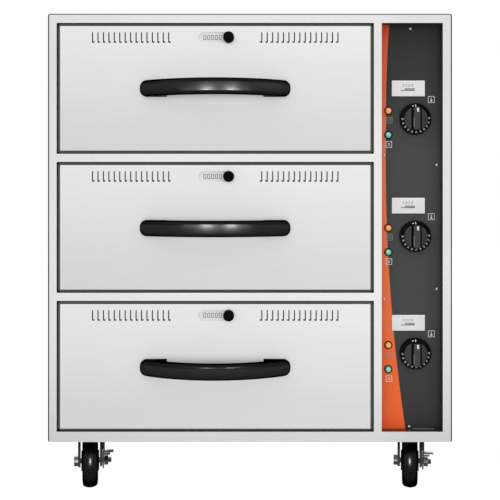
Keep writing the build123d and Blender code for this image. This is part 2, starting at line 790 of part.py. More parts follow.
for number, level in enumerate(opening_centres, start=1):
    face_spot = (drawer_x, level)
    vent_level = level + vent_row_rise
    vent_spots = [(drawer_x + shift, vent_level) for shift in vent_centres]
    tongue_spots = [(drawer_x + shift, vent_level + vent_tongue_rise) for shift in tongue_centres]
    cavity_floor = level - floor_drop
    slide_z = cavity_floor + slide_level

    # Drawer front: skin with returns and guides for the shutter; in each vent slot a tongue of
    # the sheet stays on the inner side, so the air passes through a J-shaped cut
    with BuildPart() as drawer_front:
        with BuildSketch(frontal(0)):
            with Locations(face_spot):
                RectangleRounded(face_width, face_height, front_corner_radius)
            with Locations(*vent_spots):
                SlotOverall(vent_slot_height, vent_slot_width, rotation=90, mode=Mode.SUBTRACT)
            with Locations(*tongue_spots):
                Rectangle(vent_tongue_width, vent_tongue_length)
            with Locations((drawer_x, vent_level)):
                SlotOverall(legend_slot_length, legend_slot_height, mode=Mode.SUBTRACT)
        extrude(amount=-sheet)
        with BuildSketch(frontal(sheet)):
            with Locations(face_spot):
                RectangleRounded(face_width, face_height, front_corner_radius)
                Rectangle(face_width - 2 * sheet, face_height - 2 * sheet, mode=Mode.SUBTRACT)
        extrude(amount=-(front_depth - inner_panel_sheet - sheet))
        for side in (-1, 1):
            guide_edge = vent_level + side * (shutter_height / 2 + shutter_gap)
            with BuildSketch(Plane.YZ.offset(drawer_x - guide_length / 2)):
                with BuildLine():
                    Polyline(
                        (front_y + sheet, guide_edge),
                        (front_y + sheet, guide_edge + side * shutter_guide_wall),
                        (
                            front_y + sheet + guide_depth + shutter_sheet,
                            guide_edge + side * shutter_guide_wall,
                        ),
                        (
                            front_y + sheet + guide_depth + shutter_sheet,
                            guide_edge - side * shutter_guide_lip,
                        ),
                        (front_y + sheet + guide_depth, guide_edge - side * shutter_guide_lip),
                        (front_y + sheet + guide_depth, guide_edge),
                        close=True,
                    )
                make_face()
            extrude(amount=guide_length)
    save(drawer_front, f"drawer_front_{number}")

    # Inner panel, with a window behind each group of vents
    with BuildPart() as drawer_inner_panel:
        with BuildSketch(frontal(front_depth - inner_panel_sheet)):
            with Locations(face_spot):
                RectangleRounded(face_width, face_height, front_corner_radius)
            with Locations(
                (drawer_x - vent_group_centre, vent_level), (drawer_x + vent_group_centre, vent_level)
            ):
                Rectangle(
                    vent_group_width + 2 * vent_window_margin,
                    vent_slot_height,
                    mode=Mode.SUBTRACT,
                )
        extrude(amount=-inner_panel_sheet)
    save(drawer_inner_panel, f"drawer_inner_panel_{number}")

    # Gasket: rounded bead round the drawer front, with a lip behind it for the liner's flange
    with BuildPart() as drawer_gasket:
        with BuildSketch(frontal(gasket_bead_start)):
            with Locations(face_spot):
                RectangleRounded(gasket_outer_width, gasket_outer_height, gasket_corner_radius)
                RectangleRounded(face_width, face_height, front_corner_radius, mode=Mode.SUBTRACT)
        extrude(amount=-(front_depth - gasket_bead_start))
        fillet(
            drawer_gasket.faces().sort_by(Axis.Y)[0].edges(),
            min(gasket_bead_radius, 0.45 * gasket_bead_width),
        )
        with BuildSketch(frontal(front_depth)):
            with Locations(face_spot):
                RectangleRounded(gasket_outer_width, gasket_outer_height, gasket_corner_radius)
                Rectangle(
                    face_width - 2 * gasket_width,
                    face_height - 2 * gasket_width,
                    mode=Mode.SUBTRACT,
                )
        extrude(amount=-gasket_depth)
    save(drawer_gasket, f"drawer_gasket_{number}")

    # Bow handle: an even bow on two feet in plan, trimmed to rounded ends, with softened edges
    handle_level = level - handle_drop
    with BuildPart() as drawer_handle:
        with BuildSketch(Plane.XY.offset(handle_level - handle_height / 2)):
            with BuildLine():
                Polyline(
                    (drawer_x + handle_inner_half, front_y),
                    (drawer_x + handle_length / 2, front_y),
                    (drawer_x + handle_length / 2, front_y - handle_end_depth),
                )
                ThreePointArc(
                    (drawer_x + handle_length / 2, front_y - handle_end_depth),
                    (drawer_x, front_y - handle_projection),
                    (drawer_x - handle_length / 2, front_y - handle_end_depth),
                )
                Polyline(
                    (drawer_x - handle_length / 2, front_y - handle_end_depth),
                    (drawer_x - handle_length / 2, front_y),
                    (drawer_x - handle_inner_half, front_y),
                    (drawer_x - handle_inner_half, front_y - handle_root_depth),
                )
                ThreePointArc(
                    (drawer_x - handle_inner_half, front_y - handle_root_depth),
                    (drawer_x, front_y - handle_grip_rear),
                    (drawer_x + handle_inner_half, front_y - handle_root_depth),
                )
                Line(
                    (drawer_x + handle_inner_half, front_y - handle_root_depth),
                    (drawer_x + handle_inner_half, front_y),
                )
            make_face()
        extrude(amount=handle_height)
        roots = [
            edge
            for edge in drawer_handle.edges().filter_by(Axis.Z)
            if abs(edge.center().Y - front_y + handle_root_depth) < 0.1
        ]
        fillet(roots, handle_root_radius)
        with BuildSketch(frontal(0)):
            with Locations((drawer_x, handle_level)):
                RectangleRounded(handle_length, handle_height, handle_end_radius)
        extrude(amount=handle_projection, mode=Mode.INTERSECT)
        bow_face = drawer_handle.faces().filter_by(GeomType.CYLINDER).sort_by(Axis.Y)[0]
        fillet(bow_face.edges(), handle_edge_radius)
    save(drawer_handle, f"drawer_handle_{number}")

    # Carrier: deep frame behind the front, with a ledge that the pan's rim sits on
    with BuildPart() as drawer_carrier:
        with BuildSketch(Plane.XY.offset(cavity_floor + carrier_bottom)):
            with Locations((drawer_x, carrier_y)):
                Rectangle(carrier_width, carrier_length)
                Rectangle(
                    carrier_width - 2 * carrier_sheet,
                    carrier_length - 2 * carrier_sheet,
                    mode=Mode.SUBTRACT,
                )
        extrude(amount=carrier_height)
        with BuildSketch(Plane.XY.offset(cavity_floor + carrier_bottom + carrier_height)):
            with Locations((drawer_x, carrier_y)):
                Rectangle(carrier_width, carrier_length)
                Rectangle(
                    carrier_width - 2 * carrier_ledge,
                    carrier_length - 2 * carrier_ledge,
                    mode=Mode.SUBTRACT,
                )
        extrude(amount=-carrier_sheet)
    save(drawer_carrier, f"drawer_carrier_{number}")

    # Food pan: deep drawn bowl hung by its rim in the carrier
    pan_top = cavity_floor + carrier_bottom + carrier_height + pan_sheet
    pan_outside = pan_form(0, pan_top)
    pan_inside = pan_form(pan_sheet, pan_top)
    with BuildPart() as food_pan:
        with BuildSketch(Plane.XY.offset(pan_top)):
            with Locations((drawer_x, carrier_y)):
                RectangleRounded(pan_width, pan_length, pan_rim_radius)
        extrude(amount=-pan_sheet)
        add(pan_outside)
        add(pan_inside, mode=Mode.SUBTRACT)
    save(food_pan, f"food_pan_{number}")

    # Vent shutter: slotted strip behind the skin, half a pitch out of step when closed
    with BuildPart() as vent_shutter:
        with BuildSketch(frontal(shutter_depth)):
            with Locations((drawer_x, vent_level)):
                Rectangle(2 * shutter_half_length, shutter_height)
            with Locations(*[(drawer_x + shift, vent_level) for shift in shutter_ports]):
                Rectangle(shutter_port_width, shutter_port_height, mode=Mode.SUBTRACT)
        extrude(amount=-shutter_sheet)
    save(vent_shutter, f"vent_shutter_{number}")

    # Vent knob: button outside, stem through the legend slot to the shutter
    with BuildPart() as vent_knob:
        with BuildSketch(frontal(shutter_depth)):
            with Locations((drawer_x + vent_knob_shift, vent_level)):
                Circle(vent_stem_diameter / 2)
        extrude(amount=shutter_depth + vent_knob_gap)
        with BuildSketch(frontal(-vent_knob_gap)):
            with Locations((drawer_x + vent_knob_shift, vent_level)):
                Circle(vent_knob_diameter / 2)
        extrude(amount=vent_knob_depth)
        fillet(vent_knob.faces().sort_by(Axis.Y)[0].edges(), vent_knob_edge_radius)
    save(vent_knob, f"vent_knob_{number}")

    # Middle and inner members of this drawer's two slides
    with BuildPart() as slide_mid:
        with BuildSketch(frontal(slide_front)):
            with Locations((liner_right - slide_mid_start, slide_z)):
                Rectangle(
                    slide_outer_depth - slide_mid_start,
                    mid_height,
                    align=(Align.MAX, Align.CENTER),
                )
            with Locations((liner_right - slide_mid_start - slide_sheet, slide_z)):
                Rectangle(
                    slide_outer_depth,
                    mid_height - 2 * slide_sheet,
                    align=(Align.MAX, Align.CENTER),
                    mode=Mode.SUBTRACT,
                )
        extrude(amount=-slide_length)
        mirror(about=Plane.YZ.offset(drawer_x))
    save(slide_mid, f"slide_mid_{number}")

    with BuildPart() as slide_inner:
        with BuildSketch(frontal(slide_front)):
            with Locations((liner_right - slide_thickness, slide_z)):
                Rectangle(
                    slide_thickness - slide_inner_start,
                    inner_height,
                    align=(Align.MIN, Align.CENTER),
                )
            with Locations((liner_right - slide_thickness + slide_sheet, slide_z)):
                Rectangle(
                    slide_thickness,
                    inner_height - 2 * slide_sheet,
                    align=(Align.MIN, Align.CENTER),
                    mode=Mode.SUBTRACT,
                )
        extrude(amount=-slide_length)
        mirror(about=Plane.YZ.offset(drawer_x))
    save(slide_inner, f"slide_inner_{number}")

for number, (swivel_x, swivel_y) in enumerate(caster_spots, start=1):
    axle_y = swivel_y - caster_trail
    swivel_axis = Axis((swivel_x, swivel_y, 0), (0, 0, 1))
    has_brake = swivel_y == front_y + front_caster_depth
    caster_turn = 0.0
    if has_brake:
        caster_turn = front_caster_turn if swivel_x < 0 else -front_caster_turn

    # Caster fork: raceway and kingpin, crown, two rimmed legs, axle, its head and its nut.
    # A front caster stands turned a little, its wheel towards the middle of the front.
    leg_x = swivel_x + fork_inner_width / 2
    nut_right = swivel_x + fork_outer + (2 * brake_gap + brake_sheet if has_brake else 0)
    nut_left = swivel_x - fork_outer
    with BuildPart() as caster_fork:
        with BuildSketch(Plane.XY.offset(crown_underside)):
            with Locations((swivel_x, swivel_y)):
                Rectangle(2 * (fork_inner_width / 2 + fork_sheet), fork_crown_length)
        extrude(amount=fork_sheet)
        with BuildSketch(Plane.YZ.offset(leg_x)) as leg:
            with Locations((swivel_y, crown_underside + fork_sheet)):
                Rectangle(fork_crown_length, 2 * fork_sheet, align=(Align.CENTER, Align.MAX))
            with Locations((axle_y, wheel_radius)):
                Circle(fork_boss_diameter / 2)
            make_hull()
        extrude(amount=fork_sheet)
        with BuildSketch(Plane.YZ.offset(leg_x + fork_sheet)):
            add(leg.face())
            offset(leg.face(), amount=-fork_rim_width, mode=Mode.SUBTRACT)
        extrude(amount=fork_rim_depth)
        with BuildSketch(Plane.YZ.offset(leg_x + fork_sheet)):
            with Locations((axle_y, wheel_radius)):
                Circle(fork_boss_diameter / 2)
        extrude(amount=fork_rim_depth)
        mirror(about=Plane.YZ.offset(swivel_x))
        with BuildSketch(Plane.XY.offset(crown_underside + fork_sheet)):
            with Locations((swivel_x, swivel_y)):
                Circle(raceway_diameter / 2)
        extrude(amount=raceway_top - crown_underside - fork_sheet, taper=raceway_taper)
        with BuildSketch(Plane.XY.offset(crown_underside)):
            with Locations((swivel_x, swivel_y)):
                Circle(kingpin_diameter / 2)
        extrude(amount=base_underside - caster_plate_gap - crown_underside)
        with BuildSketch(Plane.YZ.offset(nut_left - axle_nut_thickness)):
            with Locations((axle_y, wheel_radius)):
                Circle(axle_diameter / 2)
        extrude(amount=nut_right - nut_left + 2 * axle_nut_thickness + axle_end)
        with BuildSketch(
            Plane.YZ.offset(nut_left - axle_nut_thickness), Plane.YZ.offset(nut_right)
        ):
            with Locations((axle_y, wheel_radius)):
                RegularPolygon(axle_nut_width / 2, 6, major_radius=False)
        extrude(amount=axle_nut_thickness)
    save(caster_fork, f"caster_fork_{number}", swivel_axis, caster_turn)

    # Caster wheel: hub, web, rim and rounded tyre, turned about the axle
    axle_plane = Plane.XZ.offset(-axle_y)
    with BuildPart() as caster_wheel:
        with BuildSketch(axle_plane) as section:
            with BuildLine():
                Polyline(
                    (swivel_x, wheel_radius + axle_diameter / 2 + bearing_clearance),
                    (swivel_x + hub_width / 2, wheel_radius + axle_diameter / 2 + bearing_clearance),
                    (swivel_x + hub_width / 2, wheel_radius + hub_diameter / 2),
                    (swivel_x + web_width / 2, wheel_radius + hub_diameter / 2),
                    (swivel_x + web_width / 2, wheel_diameter - tyre_depth - rim_inset),
                    (
                        swivel_x + wheel_width / 2 - rim_inset / 2,
                        wheel_diameter - tyre_depth - rim_inset,
                    ),
                    (swivel_x + wheel_width / 2, wheel_diameter - tyre_depth),
                    (swivel_x + wheel_width / 2 - tyre_taper, wheel_diameter),
                    (swivel_x, wheel_diameter),
                    close=True,
                )
            make_face()
            fillet(section.vertices().sort_by(Axis.Y)[-2:].sort_by(Axis.X)[-1], tyre_edge_radius)
            mirror(about=Plane.YZ.offset(swivel_x))
        revolve(axis=Axis((swivel_x, axle_y, wheel_radius), (1, 0, 0)))
    save(caster_wheel, f"caster_wheel_{number}", swivel_axis, caster_turn)

    # Brake lever of a front caster: pedal and release tabs on a rocker with a cam below
    if has_brake:
        rocker_x = swivel_x + fork_outer + brake_gap
        pedal_spot = (axle_y - pedal_reach, wheel_radius + pedal_rise)
        release_spot = (axle_y + pedal_reach, wheel_radius + release_rise)
        with BuildPart() as brake_lever:
            with BuildSketch(Plane.YZ.offset(rocker_x)):
                with Locations((axle_y, wheel_radius)):
                    Circle(brake_boss_diameter / 2)
                with Locations(pedal_spot):
                    Circle(pedal_tip_diameter / 2)
                make_hull()
                with BuildSketch(mode=Mode.ADD):
                    with Locations((axle_y, wheel_radius), release_spot):
                        Circle(pedal_tip_diameter / 2)
                    make_hull()
                with BuildSketch(mode=Mode.ADD):
                    with Locations(
                        (axle_y, wheel_radius), (axle_y + cam_shift, wheel_radius - cam_drop)
                    ):
                        Circle(pedal_tip_diameter / 2)
                    make_hull()
                with Locations((axle_y, wheel_radius)):
                    Circle(axle_diameter / 2 + bearing_clearance, mode=Mode.SUBTRACT)
            extrude(amount=brake_sheet)
            for spot, width in ((pedal_spot, pedal_width), (release_spot, release_width)):
                with BuildSketch(Plane.YZ.offset(rocker_x + brake_sheet)):
                    with Locations(spot):
                        Rectangle(pedal_length, brake_sheet, rotation=-pedal_slope)
                extrude(amount=width)
        save(brake_lever, f"brake_lever_{number}", swivel_axis, caster_turn)
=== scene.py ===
"""Dresses the three-drawer food warmer and sets it in a plain white studio.

Lengths are in metres and +Z is up. The drawers open towards -Y.
"""

from __future__ import annotations

import json
import logging
import math
from collections.abc import Callable, Iterable
from dataclasses import dataclass
from enum import Enum

import bmesh
import bpy
from mathutils import Matrix, Vector

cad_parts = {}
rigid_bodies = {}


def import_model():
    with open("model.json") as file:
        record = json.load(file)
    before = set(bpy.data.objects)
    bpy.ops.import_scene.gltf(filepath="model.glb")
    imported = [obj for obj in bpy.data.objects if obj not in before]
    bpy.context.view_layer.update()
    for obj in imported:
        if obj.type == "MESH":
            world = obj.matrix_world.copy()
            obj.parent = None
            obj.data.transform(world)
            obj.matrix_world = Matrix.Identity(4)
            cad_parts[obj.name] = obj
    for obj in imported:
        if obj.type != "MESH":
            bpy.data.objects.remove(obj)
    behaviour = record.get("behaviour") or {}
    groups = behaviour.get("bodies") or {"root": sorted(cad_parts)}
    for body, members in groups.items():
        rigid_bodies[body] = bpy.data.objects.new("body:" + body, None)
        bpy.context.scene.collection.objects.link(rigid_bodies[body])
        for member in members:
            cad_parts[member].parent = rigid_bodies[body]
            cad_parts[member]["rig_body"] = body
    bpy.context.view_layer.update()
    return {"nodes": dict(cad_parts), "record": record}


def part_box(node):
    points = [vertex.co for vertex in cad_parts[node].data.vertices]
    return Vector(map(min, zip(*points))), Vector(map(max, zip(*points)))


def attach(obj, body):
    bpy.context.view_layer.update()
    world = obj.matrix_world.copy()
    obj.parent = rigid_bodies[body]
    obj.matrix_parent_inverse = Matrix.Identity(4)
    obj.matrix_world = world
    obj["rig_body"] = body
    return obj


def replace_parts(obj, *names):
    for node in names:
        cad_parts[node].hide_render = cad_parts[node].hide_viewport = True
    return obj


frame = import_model()

logging.basicConfig(level=logging.INFO, format="%(message)s")
log = logging.getLogger("warmer")

Pair = tuple[float, float]
Triple = tuple[float, float, float]
Tint = float | Triple
Stops = tuple[tuple[float, Tint], ...]

MM = 0.001
FACING = Matrix.Rotation(math.pi / 2, 4, "X")
DRAWERS = (1, 2, 3)
CASTERS = (1, 2, 3, 4)
HEAD_RISE = 0.55
HEAD_SIDES = 24
HEAD_DOME = ((0.0, 1.0), (0.45, 0.92), (0.8, 0.62), (1.0, 0.0))
HEAD_RECESS = (0.9, 0.16, 0.22)
FILM = 0.25 * MM
WELD = 0.001 * MM
WHITE = 1.0


class Grain(Enum):
    """The way that a sheet was brushed."""

    ACROSS = "X"
    BACK = "Y"


class Edge(Enum):
    """How sharp the folds and cuts of a piece look, as the angle in degrees that stays smooth."""

    SOFT = 50.0
    CRISP = 30.0


class Signal(Enum):
    """The two colours of indicator lamps."""

    AMBER = "amber"
    GREEN = "green"


class Sign(Enum):
    """The small printed signs of a control unit."""

    HEAT = "heat"
    POWER = "power"
    READY = "ready"


class Shade:
    """A socket of a node tree, for use in Python expressions on values."""

    def __init__(self, tree: bpy.types.NodeTree, socket: bpy.types.NodeSocket) -> None:
        """Wrap a socket.

        Args:
            tree: the node tree that holds the socket.
            socket: the output socket to wrap.
        """
        self.tree = tree
        self.socket = socket

    def _join(self, operation: str, first: Shade | float, second: Shade | float) -> Shade:
        """Add a Math node.

        Args:
            operation: the Math node's operation.
            first: its first value.
            second: its second value.

        Returns:
            The node's result.
        """
        node = self.tree.nodes.new("ShaderNodeMath")
        node.operation = operation
        for socket, value in zip(node.inputs, (first, second)):
            if isinstance(value, Shade):
                self.tree.links.new(value.socket, socket)
            else:
                socket.default_value = value
        return Shade(self.tree, node.outputs[0])

    def __add__(self, other: Shade | float) -> Shade:
        """Return the sum."""
        return self._join("ADD", self, other)

    def __sub__(self, other: Shade | float) -> Shade:
        """Return the difference."""
        return self._join("SUBTRACT", self, other)

    def __rsub__(self, other: float) -> Shade:
        """Return the difference, with a number on the left."""
        return self._join("SUBTRACT", other, self)

    def __mul__(self, other: Shade | float) -> Shade:
        """Return the product."""
        return self._join("MULTIPLY", self, other)

    def __truediv__(self, other: Shade | float) -> Shade:
        """Return the quotient."""
        return self._join("DIVIDE", self, other)

    __radd__ = __add__
    __rmul__ = __mul__

    def at_least(self, limit: Shade | float) -> Shade:
        """Return the larger of the value and a limit."""
        return self._join("MAXIMUM", self, limit)

    def at_most(self, limit: Shade | float) -> Shade:
        """Return the smaller of the value and a limit."""
        return self._join("MINIMUM", self, limit)

    def size(self) -> Shade:
        """Return the value without its sign."""
        return self._join("ABSOLUTE", self, 0.0)

    def rise(self, start: float, end: float) -> Shade:
        """Return 0 up to a start, 1 from an end on, and a straight rise between."""
        return ((self - start) / (end - start)).at_least(0.0).at_most(1.0)

    def wrapped(self, period: float) -> Shade:
        """Return the remainder of the value by a period."""
        return self._join("FLOORED_MODULO", self, period)


def tone(tint: Tint) -> tuple[float, float, float, float]:
    """Return an opaque colour from a grey or from its linear parts."""
    return (*tint, 1.0) if isinstance(tint, tuple) else (tint, tint, tint, 1.0)


class Surface:
    """A material's node tree while it is being made."""

    def __init__(self, name: str) -> None:
        """Start a material with a Principled shader.

        Args:
            name: the material's name.
        """
        self.material = bpy.data.materials.new(name)
        self.material.use_nodes = True
        self.tree = self.material.node_tree
        self.shader = self.tree.nodes["Principled BSDF"]

    def node(self, kind: str, settings: dict | None = None, **values: object) -> bpy.types.Node:
        """Add a node.

        Args:
            kind: the node's type, without the leading "ShaderNode".
            settings: what is set on the node before its sockets, with a ramp's stops under "stops".
            **values: a number, colour, vector or Shade for each input, by name.

        Returns:
            The node.
        """
        made = self.tree.nodes.new("ShaderNode" + kind)
        for key, value in (settings or {}).items():
            if key == "stops":
                self._stop(made.color_ramp.elements, value)
            else:
                setattr(made, key, value)
        for key, value in values.items():
            self.feed(self._input(made, key), value)
        return made

    @staticmethod
    def _stop(elements: bpy.types.ColorRampElements, stops: Stops) -> None:
        """Set a ramp's stops, and add those that it lacks.

        Args:
            elements: the ramp's stops.
            stops: their places and tints.
        """
        while len(elements) < len(stops):
            elements.new(0.5)
        for element, (place, tint) in zip(list(elements), stops):
            element.position = place
            element.color = tone(tint)

    @staticmethod
    def _input(made: bpy.types.Node, key: str) -> bpy.types.NodeSocket:
        """Find an enabled input of a node.

        Args:
            made: the node.
            key: the input's name as a keyword, such as Base_Color.

        Returns:
            The input.
        """
        wanted = key.replace("_", " ").lower()
        for socket in made.inputs:
            if socket.enabled and socket.name.lower() == wanted:
                return socket
        raise KeyError(f"{made.bl_idname} has no input {wanted}")

    def feed(self, socket: bpy.types.NodeSocket, value: object) -> None:
        """Give an input its value.

        Args:
            socket: the input.
            value: a Shade or a socket to link, or a plain value to set.
        """
        if isinstance(value, Shade):
            self.tree.links.new(value.socket, socket)
        elif isinstance(value, bpy.types.NodeSocket):
            self.tree.links.new(value, socket)
        else:
            socket.default_value = value

    def out(self, made: bpy.types.Node, key: str | int = 0) -> Shade:
        """Return one output of a node as a Shade."""
        return Shade(self.tree, made.outputs[key])

    def place(self, stretch: Tint) -> bpy.types.NodeSocket:
        """Add scaled Object coordinates.

        Args:
            stretch: the scale, or one for each axis, so a small number gives a long pattern.

        Returns:
            The vector socket.
        """
        scale = stretch if isinstance(stretch, tuple) else (stretch,) * 3
        coordinates = self.node("TexCoord").outputs["Object"]
        return self.node("Mapping", Vector=coordinates, Scale=scale).outputs[0]

    def noise(self, stretch: Tint, detail: float) -> Shade:
        """Return noise from 0 to 1 on stretched Object coordinates."""
        return self.out(self.node("TexNoise", Vector=self.place(stretch), Scale=1.0, Detail=detail))

    def axes(self) -> tuple[Shade, Shade, Shade]:
        """Return X, Y and Z of the Object coordinates."""
        split = self.node("SeparateXYZ", Vector=self.node("TexCoord").outputs["Object"])
        return self.out(split, "X"), self.out(split, "Y"), self.out(split, "Z")

    def ramp(self, place: Shade, stops: Stops) -> Shade:
        """Return the colour that a ramp's stops give at a place from 0 to 1."""
        return self.out(self.node("ValToRGB", {"stops": stops}, Fac=place))

    def blend(self, factor: Shade | float, first: object, second: object) -> Shade:
        """Mix two colours by a factor."""
        return self.out(self.node("Mix", {"data_type": "RGBA"}, Factor=factor, A=first, B=second), 2)

    def bump(self, height: Shade, strength: float, distance: float) -> None:
        """Feed a height to the shader's Normal through a Bump node."""
        made = self.node("Bump", Height=height, Strength=strength, Distance=distance)
        self.feed(self.shader.inputs["Normal"], self.out(made))

    def dress(self, **values: object) -> bpy.types.Material:
        """Set the shader's own sockets.

        Args:
            **values: a value for each input, by name.

        Returns:
            The material.
        """
        for key, value in values.items():
            self.feed(self._input(self.shader, key), value)
        return self.material


@dataclass(frozen=True)
class Gradient:
    """A change of tone along one axis.

    The stops are pairs of a share of the length and a factor of at most 1. With a period, the
    change comes back after each.
    """

    axis: str
    start: float
    length: float
    stops: Stops
    period: float = 0.0

    def factor(self, surface: Surface) -> Shade:
        """Add the gradient to a material.

        Args:
            surface: the surface that it is for.

        Returns:
            The factor at each point.
        """
        reach = surface.axes()["XYZ".index(self.axis)] - self.start
        if self.period:
            reach = reach.wrapped(self.period)
        return surface.ramp(reach / self.length, self.stops)


@dataclass(frozen=True)
class BrushedSheet:
    """Stainless sheet with fine brush lines along one axis.

    Behind the face the returns are darkened as painted shade, for the dark gaps between the
    parts, and a dark line along the outline is painted shade of the folds there. The painted
    shadow ramps, one up and one across, darken the sheet behind what stands close to it, and
    the painted shading ramps lay a fall of light and shade over the sheet.
    """

    name: str
    grain: Grain = Grain.ACROSS
    light: float = 0.80
    dark: float = 0.70
    metallic: float = 1.0
    roughness: float = 0.32
    # painted shading: ramps of light and shade laid over the sheet
    painted_shading: tuple[Gradient, ...] = ()
    # painted shadow: a ramp up and a ramp across, darkening the sheet behind what stands close to it
    painted_shadow: tuple[Gradient, ...] = ()
    # where the returns start, and the share of tone that the painted shade on them leaves
    returns_from: float = 9.0
    return_shade_share: float = 1.0
    outline: Pair = (9.0, 9.0)

    LINE_PITCH, LINE_LENGTH = 0.9 * MM, 260 * MM
    BAND_PITCH, BAND_LENGTH = 4 * LINE_PITCH, LINE_LENGTH / 2
    CLOUD_SCALE = 4.0
    LINE_SHARE, BAND_SHARE, CLOUD_SHARE = 0.35, 0.45, 0.2
    # how far behind the face the painted shade on the returns sets in
    RETURN_SHADE_RISE = (0.6 * MM, 1.6 * MM)
    FOLD_RISE = (0.6 * MM, 1.0 * MM)
    # the width and blur of the painted shade along the folds of the outline
    OUTLINE_WIDTH, OUTLINE_BLUR = 2.1 * MM, 0.3 * MM
    SIDE_DARKENING, TOP_DARKENING = 0.94, 0.86
    SCRATCH, SCRATCH_DEPTH = 0.18, 0.02 * MM
    ROUGHNESS_SPREAD = 0.14

    def stretch(self, pitch: float, length: float) -> Triple:
        """Return the noise scale for lines of a pitch and length along the grain."""
        return tuple(1 / length if axis == self.grain.value else 1 / pitch for axis in "XYZ")

    def make(self) -> bpy.types.Material:
        """Build the material.

        Returns:
            The material.
        """
        surface = Surface(self.name)
        lines = surface.noise(self.stretch(self.LINE_PITCH, self.LINE_LENGTH), 3.0)
        bands = surface.noise(self.stretch(self.BAND_PITCH, self.BAND_LENGTH), 2.0)
        clouds = surface.noise(self.CLOUD_SCALE, 1.0)
        mixed = lines * self.LINE_SHARE + bands * self.BAND_SHARE + clouds * self.CLOUD_SHARE
        shade = mixed * (self.dark - self.light) + self.light
        # painted shading over the sheet
        for gradient in self.painted_shading:
            shade = shade * gradient.factor(surface)
        # painted shadow behind the handles
        if self.painted_shadow:
            level, reach = (gradient.factor(surface) for gradient in self.painted_shadow)
            shade = shade * (1.0 - (1.0 - level) * reach)
        surface.bump(lines, self.SCRATCH, self.SCRATCH_DEPTH)
        return surface.dress(
            Base_Color=self.folded(surface, shade),
            Metallic=self.metallic,
            Roughness=lines * self.ROUGHNESS_SPREAD + (self.roughness - self.ROUGHNESS_SPREAD / 2),
        )

    def folded(self, surface: Surface, shade: Shade) -> Shade:
        """Paint shade on the returns behind the face and along the folds at the outline.

        Args:
            surface: the surface that is being made.
            shade: its tone so far.

        Returns:
            The darkened tone.
        """
        x, y, z = surface.axes()
        # painted shade on the returns behind the face, for the dark gaps round the drawers and the panel
        if self.return_shade_share < 1.0:
            inside = y.rise(*(self.returns_from + reach for reach in self.RETURN_SHADE_RISE))
            shade = shade * (1.0 - inside * (1.0 - self.return_shade_share))
        # painted shade along the folds of the outline: a dark line at the sides and the top, on the face
        # only
        side, top = self.outline
        if side < 1.0:
            width, blur = self.OUTLINE_WIDTH, self.OUTLINE_BLUR
            front = 1.0 - y.rise(*(self.returns_from + reach for reach in self.FOLD_RISE))
            edge = (x.size() - side).rise(-width - blur, -width) * front
            crown = (z - top).rise(-width, blur - width) * front
            shade = shade * (1.0 - edge * self.SIDE_DARKENING) * (1.0 - crown * self.TOP_DARKENING)
        return shade


@dataclass(frozen=True)
class PlatedSteel:
    """Zinc plated or galvanised steel, with a soft mottle."""

    name: str
    light: Tint
    dark: Tint
    roughness: float
    mottle: float
    metallic: float = 1.0

    SKIN, SKIN_RELIEF, SKIN_DEPTH = 1.2 * MM, 0.12, 0.03 * MM
    ROUGHNESS_SPREAD = 0.16

    def make(self) -> bpy.types.Material:
        """Build the material.

        Returns:
            The material.
        """
        surface = Surface(self.name)
        patches = surface.noise(1 / self.mottle, 3.0)
        surface.bump(surface.noise(1 / self.SKIN, 2.0), self.SKIN_RELIEF, self.SKIN_DEPTH)
        return surface.dress(
            Base_Color=surface.blend(patches, tone(self.light), tone(self.dark)),
            Metallic=self.metallic,
            Roughness=patches * self.ROUGHNESS_SPREAD + (self.roughness - self.ROUGHNESS_SPREAD / 2),
        )


@dataclass(frozen=True)
class Moulding:
    """Moulded plastic or rubber, with a fine skin texture and faint handling marks."""

    name: str
    light: Tint
    dark: Tint
    roughness: float
    texture: float = 0.5 * MM
    relief: float = 0.12
    coat: float = 0.0
    specular: float = 0.5

    MARK_SCALE = 22.0
    SKIN_DEPTH = 0.05 * MM
    COAT_ROUGHNESS = 0.1
    ROUGHNESS_SPREAD = 0.12

    def skin(self) -> tuple[Surface, Shade, Shade]:
        """Start the material with its skin texture.

        Returns:
            The surface, its base colour and its roughness.
        """
        surface = Surface(self.name)
        marks = surface.noise(self.MARK_SCALE, 4.0)
        surface.bump(surface.noise(1 / self.texture, 2.0), self.relief, self.SKIN_DEPTH)
        base = surface.blend(marks, tone(self.light), tone(self.dark))
        spread = self.ROUGHNESS_SPREAD
        return surface, base, marks * spread + (self.roughness - spread / 2)

    def make(self) -> bpy.types.Material:
        """Build the material.

        Returns:
            The material.
        """
        surface, base, roughness = self.skin()
        return surface.dress(
            Base_Color=base,
            Roughness=roughness,
            Coat_Weight=self.coat,
            Coat_Roughness=self.COAT_ROUGHNESS,
            Specular_IOR_Level=self.specular,
        )


@dataclass(frozen=True)
class GlossBlack(Moulding):
    """Black moulding with a clean gloss.

    The reflecting lobe is dark at every angle, so the sides of a bar don't mirror the pale
    sheet behind it.
    """

    relief: float = 0.05
    # a painted shade across the bar's height, or none
    gradient: Gradient | None = None

    ROUGHNESS_SPREAD = 0.06

    def make(self) -> bpy.types.Material:
        """Build the material.

        Returns:
            The material.
        """
        surface, base, roughness = self.skin()
        # painted shade on the bar
        if self.gradient:
            base = surface.blend(self.gradient.factor(surface), tone(0.0), base)
        return surface.dress(
            Base_Color=base, Metallic=1.0, Roughness=roughness, Specular_Tint=tone(0.0)
        )


